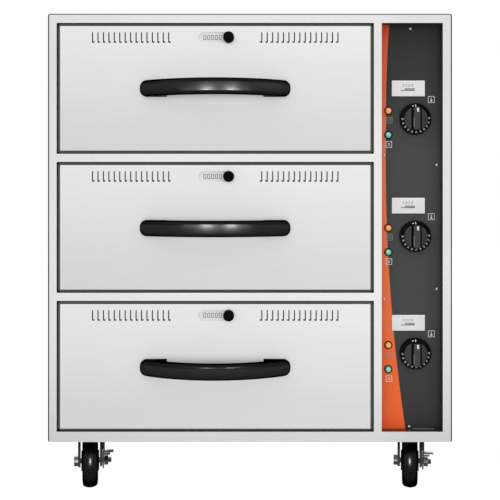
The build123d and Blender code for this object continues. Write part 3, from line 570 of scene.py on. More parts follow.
@dataclass(frozen=True)
class PrintedFace:
    """A printed sheet whose colour changes with the height, with a slight orange peel; on the charcoal panel
    the change is painted shade and sheen.
    """

    name: str
    low: float
    high: float
    stops: Stops

    CLOUD_SCALE, CLOUD_SHIFT = 7.0, 0.08
    PEEL_SCALE, PEEL_RELIEF, PEEL_DEPTH = 900.0, 0.06, 0.05 * MM
    ROUGHNESS, ROUGHNESS_SPREAD = 0.42, 0.1
    SPECULAR = 0.2

    def make(self) -> bpy.types.Material:
        """Build the material.

        Returns:
            The material.
        """
        surface = Surface(self.name)
        level = (surface.axes()[2] - self.low) / (self.high - self.low)
        clouds = surface.noise(self.CLOUD_SCALE, 2.0)
        surface.bump(surface.noise(self.PEEL_SCALE, 1.0), self.PEEL_RELIEF, self.PEEL_DEPTH)
        return surface.dress(
            Base_Color=surface.ramp(level + (clouds - 0.5) * self.CLOUD_SHIFT, self.stops),
            Roughness=clouds * self.ROUGHNESS_SPREAD + (self.ROUGHNESS - self.ROUGHNESS_SPREAD / 2),
            Specular_IOR_Level=self.SPECULAR,
        )


@dataclass(frozen=True)
class LampCap:
    """A translucent indicator cap that glows a little at its middle."""

    name: str
    body: Triple
    glow: Triple

    FACET_SCALE, FACET_RELIEF, FACET_DEPTH = 420.0, 0.5, 0.3 * MM
    ROUGHNESS, ROUGHNESS_SPREAD = 0.12, 0.1
    COAT = 0.6
    STRENGTH = 0.35

    def make(self) -> bpy.types.Material:
        """Build the material.

        Returns:
            The material.
        """
        surface = Surface(self.name)
        facets = surface.node("TexVoronoi", Vector=surface.place(self.FACET_SCALE))
        depth = surface.out(facets, "Distance")
        base = surface.blend(depth, tone(self.glow), tone(self.body))
        surface.bump(depth, self.FACET_RELIEF, self.FACET_DEPTH)
        return surface.dress(
            Base_Color=base,
            Roughness=self.ROUGHNESS + depth * self.ROUGHNESS_SPREAD,
            Coat_Weight=self.COAT,
            Emission_Color=base,
            Emission_Strength=self.STRENGTH,
        )


class Finishes:
    """Every material of the warmer, made once and found by name."""

    # Painted shading: each drawer front darker towards its bottom and its left side, the frame darker at its
    # foot, its top and its sides, and the shell darker towards its back and its bottom.
    FACE_SHOULDER = ((0.52, 0.925), (0.68, 0.955), (0.84, 0.99), (1, 1.0))
    FACE_LEVELS = ((0, 0.84), (0.2, 0.855), (0.36, 0.89), *FACE_SHOULDER)
    FACE_COLUMNS = ((0, 0.95), (0.12, 0.955), (0.4, 0.98), (0.8, 0.995), (1, 1.0))
    FRAME_LEVELS = ((0, 0.80), (0.12, 0.91), (0.26, 0.98), (0.4, 1.0), (0.72, 0.98), (0.88, 0.92), (1, 0.95))
    FRAME_COLUMNS = ((0, 0.92), (0.1, 0.94), (0.34, 1.0), (0.82, 1.0), (0.9, 0.93), (1, 0.92))
    SHELL_DEPTHS = ((0, 0.97), (0.35, 1.0), (0.7, 0.93), (1, 0.86))
    SHELL_LEVELS = ((0, 0.80), (0.3, 0.90), (0.7, 0.98), (1, 1.0))
    # Painted shade on the handle bars: dimmer along their lower part and dark along their upper part, full
    # tone in a band between.
    BOW_LEVELS = ((0, 0.45), (0.25, 0.7), (0.55, 1.0), (0.68, 1.0), (0.78, 0.42), (1, 0.42))
    # Painted shadow on the drawer fronts behind each handle: darkest behind its middle, fading out above and
    # below and towards its ends.
    SHADOW_DEPTH = 45 * MM
    SHADOW_RISE = ((0, 1.0), (0.07, 0.93), (0.17, 0.78), (0.33, 0.51))
    SHADOW_LEVELS = (*SHADOW_RISE, (0.5, 0.40), (0.67, 0.51), (0.83, 0.78), (0.93, 0.93), (1, 1.0))
    SHADOW_COLUMNS = ((0, 0.0), (0.06, 1.0), (0.94, 1.0), (1, 0.0))
    # Painted shade and sheen on the recessed charcoal panel: darker towards its top and its foot.
    PANEL_LEVELS = ((0, 0.028), (0.08, 0.040), (0.28, 0.062), (0.68, 0.064), (0.86, 0.037), (1, 0.019))
    STRIP_LEVELS = (
        (0, (1.0, 0.136, 0.026)),
        (0.27, (1.0, 0.197, 0.060)),
        (0.70, (0.97, 0.237, 0.112)),
        (1, (0.75, 0.079, 0.021)),
    )

    def __init__(self) -> None:
        """Build the materials."""
        self.made = {
            finish.name: finish.make() for finish in (*self.sheets(), *self.prints(), *self.others())
        }

    def __getitem__(self, name: str) -> bpy.types.Material:
        """Return a material by its name."""
        return self.made[name]

    def sheets(self) -> list[BrushedSheet | GlossBlack]:
        """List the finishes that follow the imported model's sizes.

        Returns:
            The stainless sheets, and the black of the handles before them.
        """
        frame_low, frame_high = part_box("face_frame")
        size = frame_high - frame_low
        face_low, face_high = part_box("drawer_front_3")
        face = face_high - face_low
        bow_low, bow_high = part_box("drawer_handle_3")
        bow = bow_high - bow_low
        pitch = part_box("drawer_front_2")[0].z - face_low.z
        # where the painted shadow behind the handles starts
        behind = (bow_low.z + bow_high.z - self.SHADOW_DEPTH) / 2
        shell_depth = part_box("outer_shell")[1].y - frame_low.y
        # the frame's sheets take painted shade on their returns and along the folds of the outline
        fold = dict(metallic=0.65, returns_from=frame_low.y, outline=(frame_high.x, frame_high.z))
        on_face = dict(
            # painted shading over each drawer front, repeated for every drawer
            painted_shading=(
                Gradient("Z", face_low.z, face.z, self.FACE_LEVELS, pitch),
                Gradient("X", face_low.x, face.x, self.FACE_COLUMNS),
            ),
            # painted shadow on each front behind its handle
            painted_shadow=(
                Gradient("Z", behind, self.SHADOW_DEPTH, self.SHADOW_LEVELS, pitch),
                Gradient("X", bow_low.x, bow.x, self.SHADOW_COLUMNS),
            ),
            # painted shade on the returns of the drawer fronts
            returns_from=face_low.y,
            return_shade_share=0.72,
        )
        # painted shading over the frame
        on_frame = (
            Gradient("Z", frame_low.z, size.z, self.FRAME_LEVELS),
            Gradient("X", frame_low.x, size.x, self.FRAME_COLUMNS),
        )
        # painted shading over the shell's sides
        on_shell = (
            Gradient("Y", frame_low.y, shell_depth, self.SHELL_DEPTHS),
            Gradient("Z", frame_low.z, size.z, self.SHELL_LEVELS),
        )
        # painted shade across the handles' height
        bar = Gradient("Z", bow_low.z, bow.z, self.BOW_LEVELS, pitch)
        back = Grain.BACK
        return [
            BrushedSheet("front_stainless", light=0.92, dark=0.83, metallic=0.6, **on_face),
            # the frame's returns take a strong painted shade
            BrushedSheet(
                "frame_stainless", light=0.915, dark=0.835, painted_shading=on_frame, return_shade_share=0.15, **fold
            ),
            # a paler copy of the sheet on the bevelled edges: a painted highlight along the folds and the
            # openings
            BrushedSheet("edge_light", light=1.0, dark=0.96, **fold),
            BrushedSheet("side_stainless", back, 0.80, 0.62, metallic=0.8, painted_shading=on_shell),
            BrushedSheet("liner_stainless", back, 0.62, 0.5, roughness=0.4),
            BrushedSheet("pan_stainless", back, 0.76, 0.66, roughness=0.24),
            GlossBlack("handle_black", 0.024, 0.021, 0.20, gradient=bar),
        ]

    def prints(self) -> list[PrintedFace]:
        """List the finishes of the control panel's printed faces.

        Returns:
            The charcoal and the orange print.
        """
        heights = [corner.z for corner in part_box("control_panel")]
        levels = {"panel_charcoal": self.PANEL_LEVELS, "strip_orange": self.STRIP_LEVELS}
        return [PrintedFace(name, *heights, stops) for name, stops in levels.items()]

    def others(self) -> list[PlatedSteel | Moulding | LampCap]:
        """List the finishes that are the same at any size.

        Returns:
            The plated steels, the mouldings and the lamp caps.
        """
        return [
            PlatedSteel("galvanised_sheet", 0.60, 0.50, 0.42, 11 * MM),
            PlatedSteel("zinc_plate", 0.66, 0.42, 0.26, 9 * MM),
            PlatedSteel("screw_steel", 0.75, 0.55, 0.2, 2 * MM),
            PlatedSteel("screw_nickel", (0.68, 0.63, 0.56), (0.42, 0.38, 0.33), 0.3, 2 * MM),
            # the caster fork in two copies: a dark one as painted shade and a pale one as painted light
            PlatedSteel("fork_steel", 0.075, 0.025, 0.3, 6 * MM),
            PlatedSteel("fork_bright", 0.70, 0.40, 0.25, 5 * MM),
            PlatedSteel("heater_sheath", 0.10, 0.05, 0.5, 12 * MM, 0.8),
            # the vent shutters are near black: painted shade seen through the slots
            PlatedSteel("shutter_painted_shade", 0.05, 0.03, 0.5, 12 * MM, 0.5),
            GlossBlack("knob_black", 0.0065, 0.0055, 0.30),
            GlossBlack("tyre_rubber", 0.0115, 0.0090, 0.25, 0.8 * MM),
            GlossBlack("amber_rim", (0.056, 0.012, 0.000), (0.034, 0.008, 0.000), 0.35),
            GlossBlack("green_rim", (0.002, 0.010, 0.009), (0.001, 0.007, 0.006), 0.35),
            # pale spots on the lamp caps: painted highlights
            Moulding("amber_heart", (1.0, 0.66, 0.30), (1.0, 0.56, 0.22), 0.2, coat=0.5),
            Moulding("green_heart", (0.65, 1.0, 0.88), (0.5, 0.92, 0.78), 0.2, coat=0.5),
            Moulding("dial_face", 0.060, 0.050, 0.42, specular=0.2),
            Moulding("inner_black", 0.02, 0.012, 0.55),
            Moulding("gasket_rubber", 0.13, 0.10, 0.7, specular=0.3),
            Moulding("display_case", 0.96, 0.93, 0.4),
            Moulding("display_glass", 0.88, 0.83, 0.3, relief=0.02, specular=0.3),
            Moulding("legend_plate", 0.89, 0.82, 0.4, specular=0.3),
            # the pale grey of the painted fold highlight
            Moulding("panel_fold", 0.30, 0.24, 0.4),
            Moulding("digit_grey", 0.06, 0.04, 0.4),
            Moulding("digit_pale", 0.42, 0.36, 0.4),
            Moulding("print_white", 0.80, 0.72, 0.5),
            Moulding("print_grey", 0.30, 0.24, 0.5),
            Moulding("mineral_board", (0.62, 0.52, 0.3), (0.5, 0.42, 0.24), 0.9, 2 * MM, 0.8),
            LampCap("lamp_amber", (0.70, 0.17, 0.01), (0.95, 0.48, 0.15)),
            LampCap("lamp_green", (0.02, 0.26, 0.17), (0.24, 0.66, 0.50)),
        ]


@dataclass(frozen=True)
class Coat:
    """How a piece is finished.

    It has a material, a slot of the record that is not used, a look for its folds, a radius for its
    edges or 0 for none, and perhaps a second material for the bevelled edges and for chosen faces.
    """

    finish: str
    slot: str
    edge: Edge = Edge.CRISP
    bevel: float = 0.0
    accent: str | None = None


class Workshop:
    """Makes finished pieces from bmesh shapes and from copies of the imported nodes."""

    DOUBLES = 0.002 * MM
    FLAT = math.radians(0.5)

    def __init__(self, finishes: Finishes) -> None:
        """Keep the materials that pieces are dressed in at hand."""
        self.finishes = finishes
        self.made: dict[str, list[bpy.types.Object]] = {}

    def piece(self, name: str, mesh: bmesh.types.BMesh, body: str, coat: Coat) -> bpy.types.Object:
        """Turn a bmesh of the builder's own into a piece that rides on a body.

        Args:
            name: the piece's name.
            mesh: its shape, in the row's frame; it is freed here.
            body: the body that it moves with.
            coat: how it is finished.

        Returns:
            The piece.
        """
        bmesh.ops.recalc_face_normals(mesh, faces=mesh.faces)
        return self.finish(name, mesh, body, coat)

    def finish(self, name: str, mesh: bmesh.types.BMesh, body: str, coat: Coat) -> bpy.types.Object:
        """Link a shape as a piece, smooth it, dress it and let it ride on its body.

        Args:
            name: the piece's name.
            mesh: its shape, with the material index of each face set; it is freed here.
            body: the body that it moves with.
            coat: how it is finished.

        Returns:
            The piece.
        """
        data = bpy.data.meshes.new(name)
        mesh.to_mesh(data)
        mesh.free()
        data.polygons.foreach_set("use_smooth", [True] * len(data.polygons))
        data.set_sharp_from_angle(angle=math.radians(coat.edge.value))
        for layer in filter(None, (coat.finish, coat.accent)):
            data.materials.append(self.finishes[layer])
        made = bpy.data.objects.new(name, data)
        bpy.context.scene.collection.objects.link(made)
        self.made.setdefault(coat.finish, []).append(made)
        if coat.bevel:
            softened = made.modifiers.new("softened", "BEVEL")
            softened.width = coat.bevel
            softened.segments = 2
            softened.limit_method = "ANGLE"
            softened.angle_limit = math.radians(coat.edge.value)
            softened.harden_normals = False
            softened.material = 1 if coat.accent else -1
        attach(made, body)
        log.info("made %s on %s", name, body)
        return made

    def clean(
        self,
        node: str,
        coat: Coat,
        chosen: Callable[[bmesh.types.BMFace], bool] | None = None,
        shaped: Callable[[bmesh.types.BMesh], None] | None = None,
    ) -> None:
        """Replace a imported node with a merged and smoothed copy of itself.

        Args:
            node: the node to stand for.
            coat: how the copy is finished.
            chosen: tells whether a face has the accent.
            shaped: softens the copy's form.
        """
        source = frame["nodes"][node]
        mesh = bmesh.new()
        mesh.from_mesh(source.data)
        bmesh.ops.remove_doubles(mesh, verts=mesh.verts, dist=self.DOUBLES)
        bmesh.ops.join_triangles(
            mesh, faces=mesh.faces, angle_face_threshold=self.FLAT, angle_shape_threshold=math.pi
        )
        if shaped:
            shaped(mesh)
        for face in mesh.faces:
            face.material_index = int(bool(chosen and chosen(face)))
        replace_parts(self.finish(node + "_dressed", mesh, source["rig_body"], coat), node)

    def paint(self, nodes: dict[str, str]) -> None:
        """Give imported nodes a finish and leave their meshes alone.

        Args:
            nodes: the finish of each node, by name.
        """
        for node, finish in nodes.items():
            data = frame["nodes"][node].data
            data.materials.clear()
            data.materials.append(self.finishes[finish])


def spot(x: float, y: float, z: float) -> Matrix:
    """Return the matrix that stands a flat drawing up at a place, facing the front."""
    return Matrix.Translation((x, y, z)) @ FACING


def block(mesh: bmesh.types.BMesh, size: Triple, where: Matrix) -> list[bmesh.types.BMVert]:
    """Add a rectangular block of a size along each axis of its own, and return its vertices."""
    scaled = where @ Matrix.Diagonal((*size, 1.0))
    return bmesh.ops.create_cube(mesh, size=1.0, matrix=scaled)["verts"]


def turned(mesh: bmesh.types.BMesh, outline: Iterable[Pair], where: Matrix, steps: int) -> None:
    """Turn an outline about its own Z.

    Args:
        mesh: the bmesh to add to.
        outline: (radius, height) points, from one end of the axis to the other.
        where: the place of the axis.
        steps: how many steps a full turn has.
    """
    older = set(mesh.verts)
    points = [mesh.verts.new((radius, 0, height)) for radius, height in outline]
    edges = [mesh.edges.new(pair) for pair in zip(points, points[1:])]
    bmesh.ops.spin(
        mesh,
        geom=points + edges,
        cent=(0, 0, 0),
        axis=(0, 0, 1),
        angle=2 * math.pi,
        steps=steps,
        use_merge=True,
        use_duplicate=False,
    )
    fresh = [vertex for vertex in mesh.verts if vertex not in older]
    bmesh.ops.remove_doubles(mesh, verts=fresh, dist=WELD)
    bmesh.ops.transform(mesh, matrix=where, verts=[v for v in fresh if v.is_valid])


def lettering(text: str, size: float) -> bmesh.types.BMesh:
    """Return plain figures as a flat mesh, centred on the origin.

    Args:
        text: the figures.
        size: their height, as a font size.

    Returns:
        A new bmesh.
    """
    curve = bpy.data.curves.new("figures", "FONT")
    curve.body = text
    curve.size = size
    curve.extrude = FILM / 2
    curve.align_x = "CENTER"
    curve.align_y = "CENTER"
    curve.resolution_u = 3
    holder = bpy.data.objects.new("figures", curve)
    bpy.context.scene.collection.objects.link(holder)
    bpy.context.view_layer.update()
    flat = bpy.data.meshes.new_from_object(holder.evaluated_get(bpy.context.evaluated_depsgraph_get()))
    bpy.data.objects.remove(holder)
    bpy.data.curves.remove(curve)
    mesh = bmesh.new()
    mesh.from_mesh(flat)
    bpy.data.meshes.remove(flat)
    bmesh.ops.remove_doubles(mesh, verts=mesh.verts, dist=WELD)
    return mesh


def pan_heads(radius: float, places: Iterable[Matrix]) -> bmesh.types.BMesh:
    """Make low domed screw heads with a cross recess.

    Args:
        radius: their radius.
        places: where they stand.

    Returns:
        A new bmesh.
    """
    rise = HEAD_RISE * radius
    length, width, depth = HEAD_RECESS
    mesh = bmesh.new()
    for where in places:
        turned(mesh, [(reach * radius, up * rise) for reach, up in HEAD_DOME], where, HEAD_SIDES)
        for turn in (0, math.pi / 2):
            arm = where @ Matrix.Rotation(turn, 4, "Z") @ Matrix.Translation((0, 0, 0.9 * rise))
            block(mesh, (length * radius, width * radius, depth * rise), arm)
    return mesh


def middle(node: str) -> Vector:
    """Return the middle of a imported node's box."""
    low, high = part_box(node)
    return (low + high) / 2


@dataclass
class Cabinet:
    """The fixed sheet metal: shell, frame, base, back and what they hold."""

    shop: Workshop
    edge_radius: float = 0.8 * MM
    screw_radius: float = 3.2 * MM
    screw_inset: float = 9.0 * MM
    screws_per_side: int = 4

    PAINTED = {
        "base_pan": "galvanised_sheet",
        "cavity_liners": "liner_stainless",
        "insulation": "mineral_board",
        "compartment_divider": "galvanised_sheet",
        "slide_outer_members": "zinc_plate",
    }

    def dress(self) -> None:
        """Dress the cabinet's nodes and fit its rear screws."""
        coats = {
            # the frame's bevelled edges take the painted highlight
            "face_frame": Coat(
                "frame_stainless", "stainless", bevel=self.edge_radius, accent="edge_light"
            ),
            "outer_shell": Coat("side_stainless", "stainless"),
            "back_panel": Coat("galvanised_sheet", "galvanised"),
            "cord_gland": Coat("inner_black", "black_plastic", Edge.SOFT),
            "heating_elements": Coat("heater_sheath", "heater_sheath", Edge.SOFT),
            "caster_plates": Coat("zinc_plate", "zinc_steel"),
        }
        for node, coat in coats.items():
            self.shop.clean(node, coat)
        self.shop.paint(self.PAINTED)
        self.rear_screws()

    def rear_screws(self) -> None:
        """Fit a row of screws along each edge of the back panel."""
        low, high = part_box("back_panel")
        inset = Vector((self.screw_inset, 0.0, self.screw_inset))
        first, last = low + inset, high - inset
        places = set()
        for step in range(self.screws_per_side):
            point = first.lerp(last, step / (self.screws_per_side - 1))
            places |= {(point.x, first.z), (point.x, last.z), (first.x, point.z), (last.x, point.z)}
        back = Matrix.Rotation(-math.pi / 2, 4, "X")
        heads = pan_heads(
            self.screw_radius, (Matrix.Translation((x, high.y, z)) @ back for x, z in sorted(places))
        )
        coat = Coat("screw_steel", "galvanised", Edge.SOFT)
        self.shop.piece("back_panel_screws", heads, "cabinet", coat)


@dataclass
class Drawer:
    """One drawer: front, handle, vents, carrier, pan and slide members."""

    shop: Workshop
    number: int
    edge_radius: float = 0.35 * MM
    legend_span: Pair = (-33.0 * MM, 79.0 * MM)
    legend_height: float = 22.0 * MM
    mark_count: int = 5
    mark_pitch: float = 7.2 * MM
    mark_size: Pair = (4.0 * MM, 8.6 * MM)
    mark_line: float = 0.9 * MM
    mark_from_knob: float = 15.5 * MM
    film: float = 0.09 * MM

    def dress(self) -> None:
        """Dress the drawer's nodes and print the marks on its shutter."""
        # the front's bevelled edges take the painted highlight
        front = Coat("front_stainless", "stainless", bevel=self.edge_radius, accent="edge_light")
        coats = {
            "drawer_front": front,
            "drawer_handle": Coat("handle_black", "handle_black", Edge.SOFT),
            "food_pan": Coat("pan_stainless", "pan_steel", Edge.SOFT),
            "vent_knob": Coat("knob_black", "handle_black", Edge.SOFT),
        }
        for node, coat in coats.items():
            self.shop.clean(f"{node}_{self.number}", coat)
        painted = {
            "drawer_inner_panel": "liner_stainless",
            "drawer_gasket": "gasket_rubber",
            "drawer_carrier": "liner_stainless",
            "slide_inner": "zinc_plate",
            "slide_mid": "zinc_plate",
            # the shutter's near black is painted shade in the slots
            "vent_shutter": "shutter_painted_shade",
        }
        self.shop.paint({f"{node}_{self.number}": finish for node, finish in painted.items()})
        self.shutter_marks()

    def shutter_marks(self) -> None:
        """Fit the pale legend plate to the shutter, with plain outlines on both sides of the knob."""
        low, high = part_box(f"vent_shutter_{self.number}")
        knob = middle(f"vent_knob_{self.number}")
        start, end = self.legend_span
        plate = bmesh.new()
        where = spot((low.x + high.x + start + end) / 2, low.y - self.film / 2, knob.z)
        block(plate, (end - start, self.legend_height, self.film), where)
        body = f"vent_{self.number}"
        self.shop.piece(f"shutter_legend_{self.number}", plate, body, Coat("legend_plate", "stainless"))
        marks = bmesh.new()
        span = (self.mark_count - 1) * self.mark_pitch
        for first in (knob.x - self.mark_from_knob - span, knob.x + self.mark_from_knob):
            for step in range(self.mark_count):
                self.mark(marks, first + step * self.mark_pitch, low.y - 1.5 * self.film, knob.z)
        self.shop.piece(f"shutter_marks_{self.number}", marks, body, Coat("digit_grey", "stainless"))

    def mark(self, mesh: bmesh.types.BMesh, x: float, y: float, z: float) -> None:
        """Add one upright outline.

        Args:
            mesh: the bmesh to add to.
            x: the X of its middle.
            y: the Y of its middle.
            z: the Z of its middle.
        """
        width, height = self.mark_size
        for side in (-1, 1):
            block(mesh, (self.mark_line, height, self.film), spot(x + side * width / 2, y, z))
            level = spot(x, y, z + side * (height - self.mark_line) / 2)
            block(mesh, (width, self.mark_line, self.film), level)


def panel_front() -> float:
    """Return the Y of the control panel's front face."""
    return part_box("control_panel")[0].y


def dial_centre(number: int) -> Vector:
    """Return the middle of a thermostat knob's front."""
    low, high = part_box(f"thermostat_knob_{number}")
    return Vector(((low.x + high.x) / 2, low.y, (low.z + high.z) / 2))


def unit_drop(number: int) -> float:
    """Return how far a control unit lies below the first one."""
    return (number - 1) * (dial_centre(1).z - dial_centre(2).z)


@dataclass
class ControlPanel:
    """The recessed panel with its orange strip, screws and a painted highlight along the fold of its foot.
    """

    shop: Workshop
    screw_radius: float = 3.0 * MM
    screw_inset: float = 6.5 * MM
    foot_screw: Pair = (-2.2 * MM, 4.1 * MM)
    left_spread: float = 135.0 * MM
    right_spread: float = 116.5 * MM
    # the height of the painted fold highlight, and its gap to the right side
    fold_highlight_height: float = 0.9 * MM
    fold_highlight_side: float = 12.0 * MM

    PAINTED = {
        "control_panel": "panel_charcoal",
        "accent_strip": "strip_orange",
        "thermostats": "inner_black",
        "displays": "display_case",
    }

    def dress(self) -> None:
        """Dress the panel's nodes and fit its screws and the painted highlight of its fold."""
        self.shop.paint(self.PAINTED)
        low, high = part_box("control_panel")
        centre, inset = (low + high) / 2, self.screw_inset
        foot = centre.x + self.foot_screw[0]
        places = [(centre.x, high.z - inset), (foot, low.z + self.foot_screw[1])]
        for x, spread in ((low.x + inset, self.left_spread), (high.x - inset, self.right_spread)):
            places += [(x, centre.z + spread), (x, centre.z - spread)]
        heads = pan_heads(self.screw_radius, (spot(x, low.y - FILM, z) for x, z in places))
        coat = Coat("screw_nickel", "zinc_steel", Edge.SOFT)
        self.shop.piece("panel_screws", heads, "cabinet", coat)
        # a thin pale strip along the panel's foot: a painted highlight of its fold
        start, end = foot + 2 * self.screw_radius, high.x - self.fold_highlight_side
        highlight_strip = bmesh.new()
        where = spot((start + end) / 2, low.y - FILM / 2, low.z + self.fold_highlight_height / 2)
        block(highlight_strip, (end - start, self.fold_highlight_height, FILM), where)
        self.shop.piece("painted_fold_highlight", highlight_strip, "cabinet", Coat("panel_fold", "panel_charcoal"))


@dataclass
class LampRow:
    """The three indicator lamps of one colour, each with a rim, a cap and a painted highlight on the cap."""

    shop: Workshop
    signal: Signal
    rim_width: float = 1.3 * MM
    # the size, shift and place of the painted highlight on each cap
    highlight_radius: float = 0.5
    highlight_shift: Pair = (-0.12, 0.12)
    highlight_front: float = 5.2 * MM
    sides: int = 40
    highlight_sides: int = 24

    def dress(self) -> None:
        """Make the row's rims, painted highlights and caps."""
        tint, node = self.signal.value, f"{self.signal.value}_lamps"
        low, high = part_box(node)
        radius = (high.x - low.x) / 2
        pitch = (high.z - low.z - 2 * radius) / 2
        x, front = low.x + radius, panel_front()
        side, up = (share * radius for share in self.highlight_shift)
        rims, caps, painted_highlights = bmesh.new(), bmesh.new(), bmesh.new()
        for step in range(len(DRAWERS)):
            z = low.z + radius + step * pitch
            turned(rims, self.rim(radius), spot(x, front, z), self.sides)
            # a painted highlight: a pale spot up and to the left on each cap
            painted_highlight = spot(x + side, front - self.highlight_front, z + up)
            turned(painted_highlights, self.painted_highlight(radius), painted_highlight, self.highlight_sides)
            turned(caps, self.cap(radius), spot(x, front, z), self.sides)
        slot = f"lamp_{tint}"
        self.shop.piece(f"{tint}_rims", rims, "cabinet", Coat(f"{tint}_rim", slot, Edge.SOFT))
        self.shop.piece(f"{tint}_hearts", painted_highlights, "cabinet", Coat(f"{tint}_heart", slot, Edge.SOFT))
        made = self.shop.piece(f"{tint}_caps", caps, "cabinet", Coat(slot, slot, Edge.SOFT))
        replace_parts(made, node)

    def rim(self, radius: float) -> list[Pair]:
        """Draw the dark rim round a lamp.

        Args:
            radius: the lamp's radius.

        Returns:
            Its outline.
        """
        outer, inner = radius + self.rim_width, 0.88 * radius
        foot, crest, step = 0.9 * MM, 1.5 * MM, 0.8 * MM
        return [(outer, 0.0), (outer, foot), (radius, crest), (0.9 * radius, crest), (inner, step)]

    def cap(self, radius: float) -> list[Pair]:
        """Return the outline of a lamp's domed cap."""
        shape = ((0.88, 0.4), (0.87, 2.6), (0.72, 4.6), (0.40, 5.8), (0.0, 6.0))
        return [(share * radius, height * MM) for share, height in shape]

    def painted_highlight(self, radius: float) -> list[Pair]:
        """Return the outline of the painted highlight, a pale spot on a cap."""
        return [(0.0, 0.9 * MM), (0.3 * radius, 0.75 * MM), (self.highlight_radius * radius, 0.0)]


@dataclass
class Display:
    """One temperature display, with its lengths as shares of its half width and its height."""

    shop: Workshop
    number: int
    window: Pair = (1.84, 0.84)
    window_edge: float = 0.1 * MM
    printed: float = 1.4 * FILM
    figures: str = "8 8.8 8"
    figure_size: float = 0.24
    figure_place: Pair = (-0.03, 0.18)
    bar_count: int = 14
    bar_span: Pair = (-0.44, 0.8)
    bar_foot: float = -0.13
    bar_width: float = 0.034
    bar_heights: Pair = (0.03, 0.14)
    low_bars: float = 0.25
    base: Pair = (0.82, 0.025)
    base_place: Pair = (-0.04, -0.14)

    def dress(self) -> None:
        """Fit the window, its plain figures and its row of bars."""
        low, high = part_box("displays")
        half, tall = (high.x - low.x) / 2, high.z - low.z - unit_drop(len(DRAWERS))
        x, z = low.x + half, high.z - tall / 2 - unit_drop(self.number)
        printed = low.y - self.printed

        def at(place: Pair) -> Matrix:
            """Return a printed spot on the window."""
            return spot(x + place[0] * half, printed, z + place[1] * tall)

        window = bmesh.new()
        size = (self.window[0] * half, self.window[1] * tall, FILM)
        block(window, size, spot(x, low.y - FILM / 2, z))
        figures = lettering(self.figures, self.figure_size * tall)
        bmesh.ops.transform(figures, matrix=at(self.figure_place), verts=figures.verts)
        bars = bmesh.new()
        for step in range(self.bar_count):
            share = step / (self.bar_count - 1)
            rise = self.bar_heights[0 if share < self.low_bars else 1]
            place = (self.bar_span[0] + self.bar_span[1] * share, self.bar_foot + rise / 2)
            block(bars, (self.bar_width * half, rise * tall, FILM), at(place))
        block(bars, (self.base[0] * half, self.base[1] * tall, FILM), at(self.base_place))
        slot, glass = "display_white", Coat("display_glass", "display_white", bevel=self.window_edge)
        self.shop.piece(f"display_window_{self.number}", window, "cabinet", glass)
        self.shop.piece(f"display_figures_{self.number}", figures, "cabinet", Coat("digit_pale", slot))
        self.shop.piece(f"display_bars_{self.number}", bars, "cabinet", Coat("digit_grey", slot))


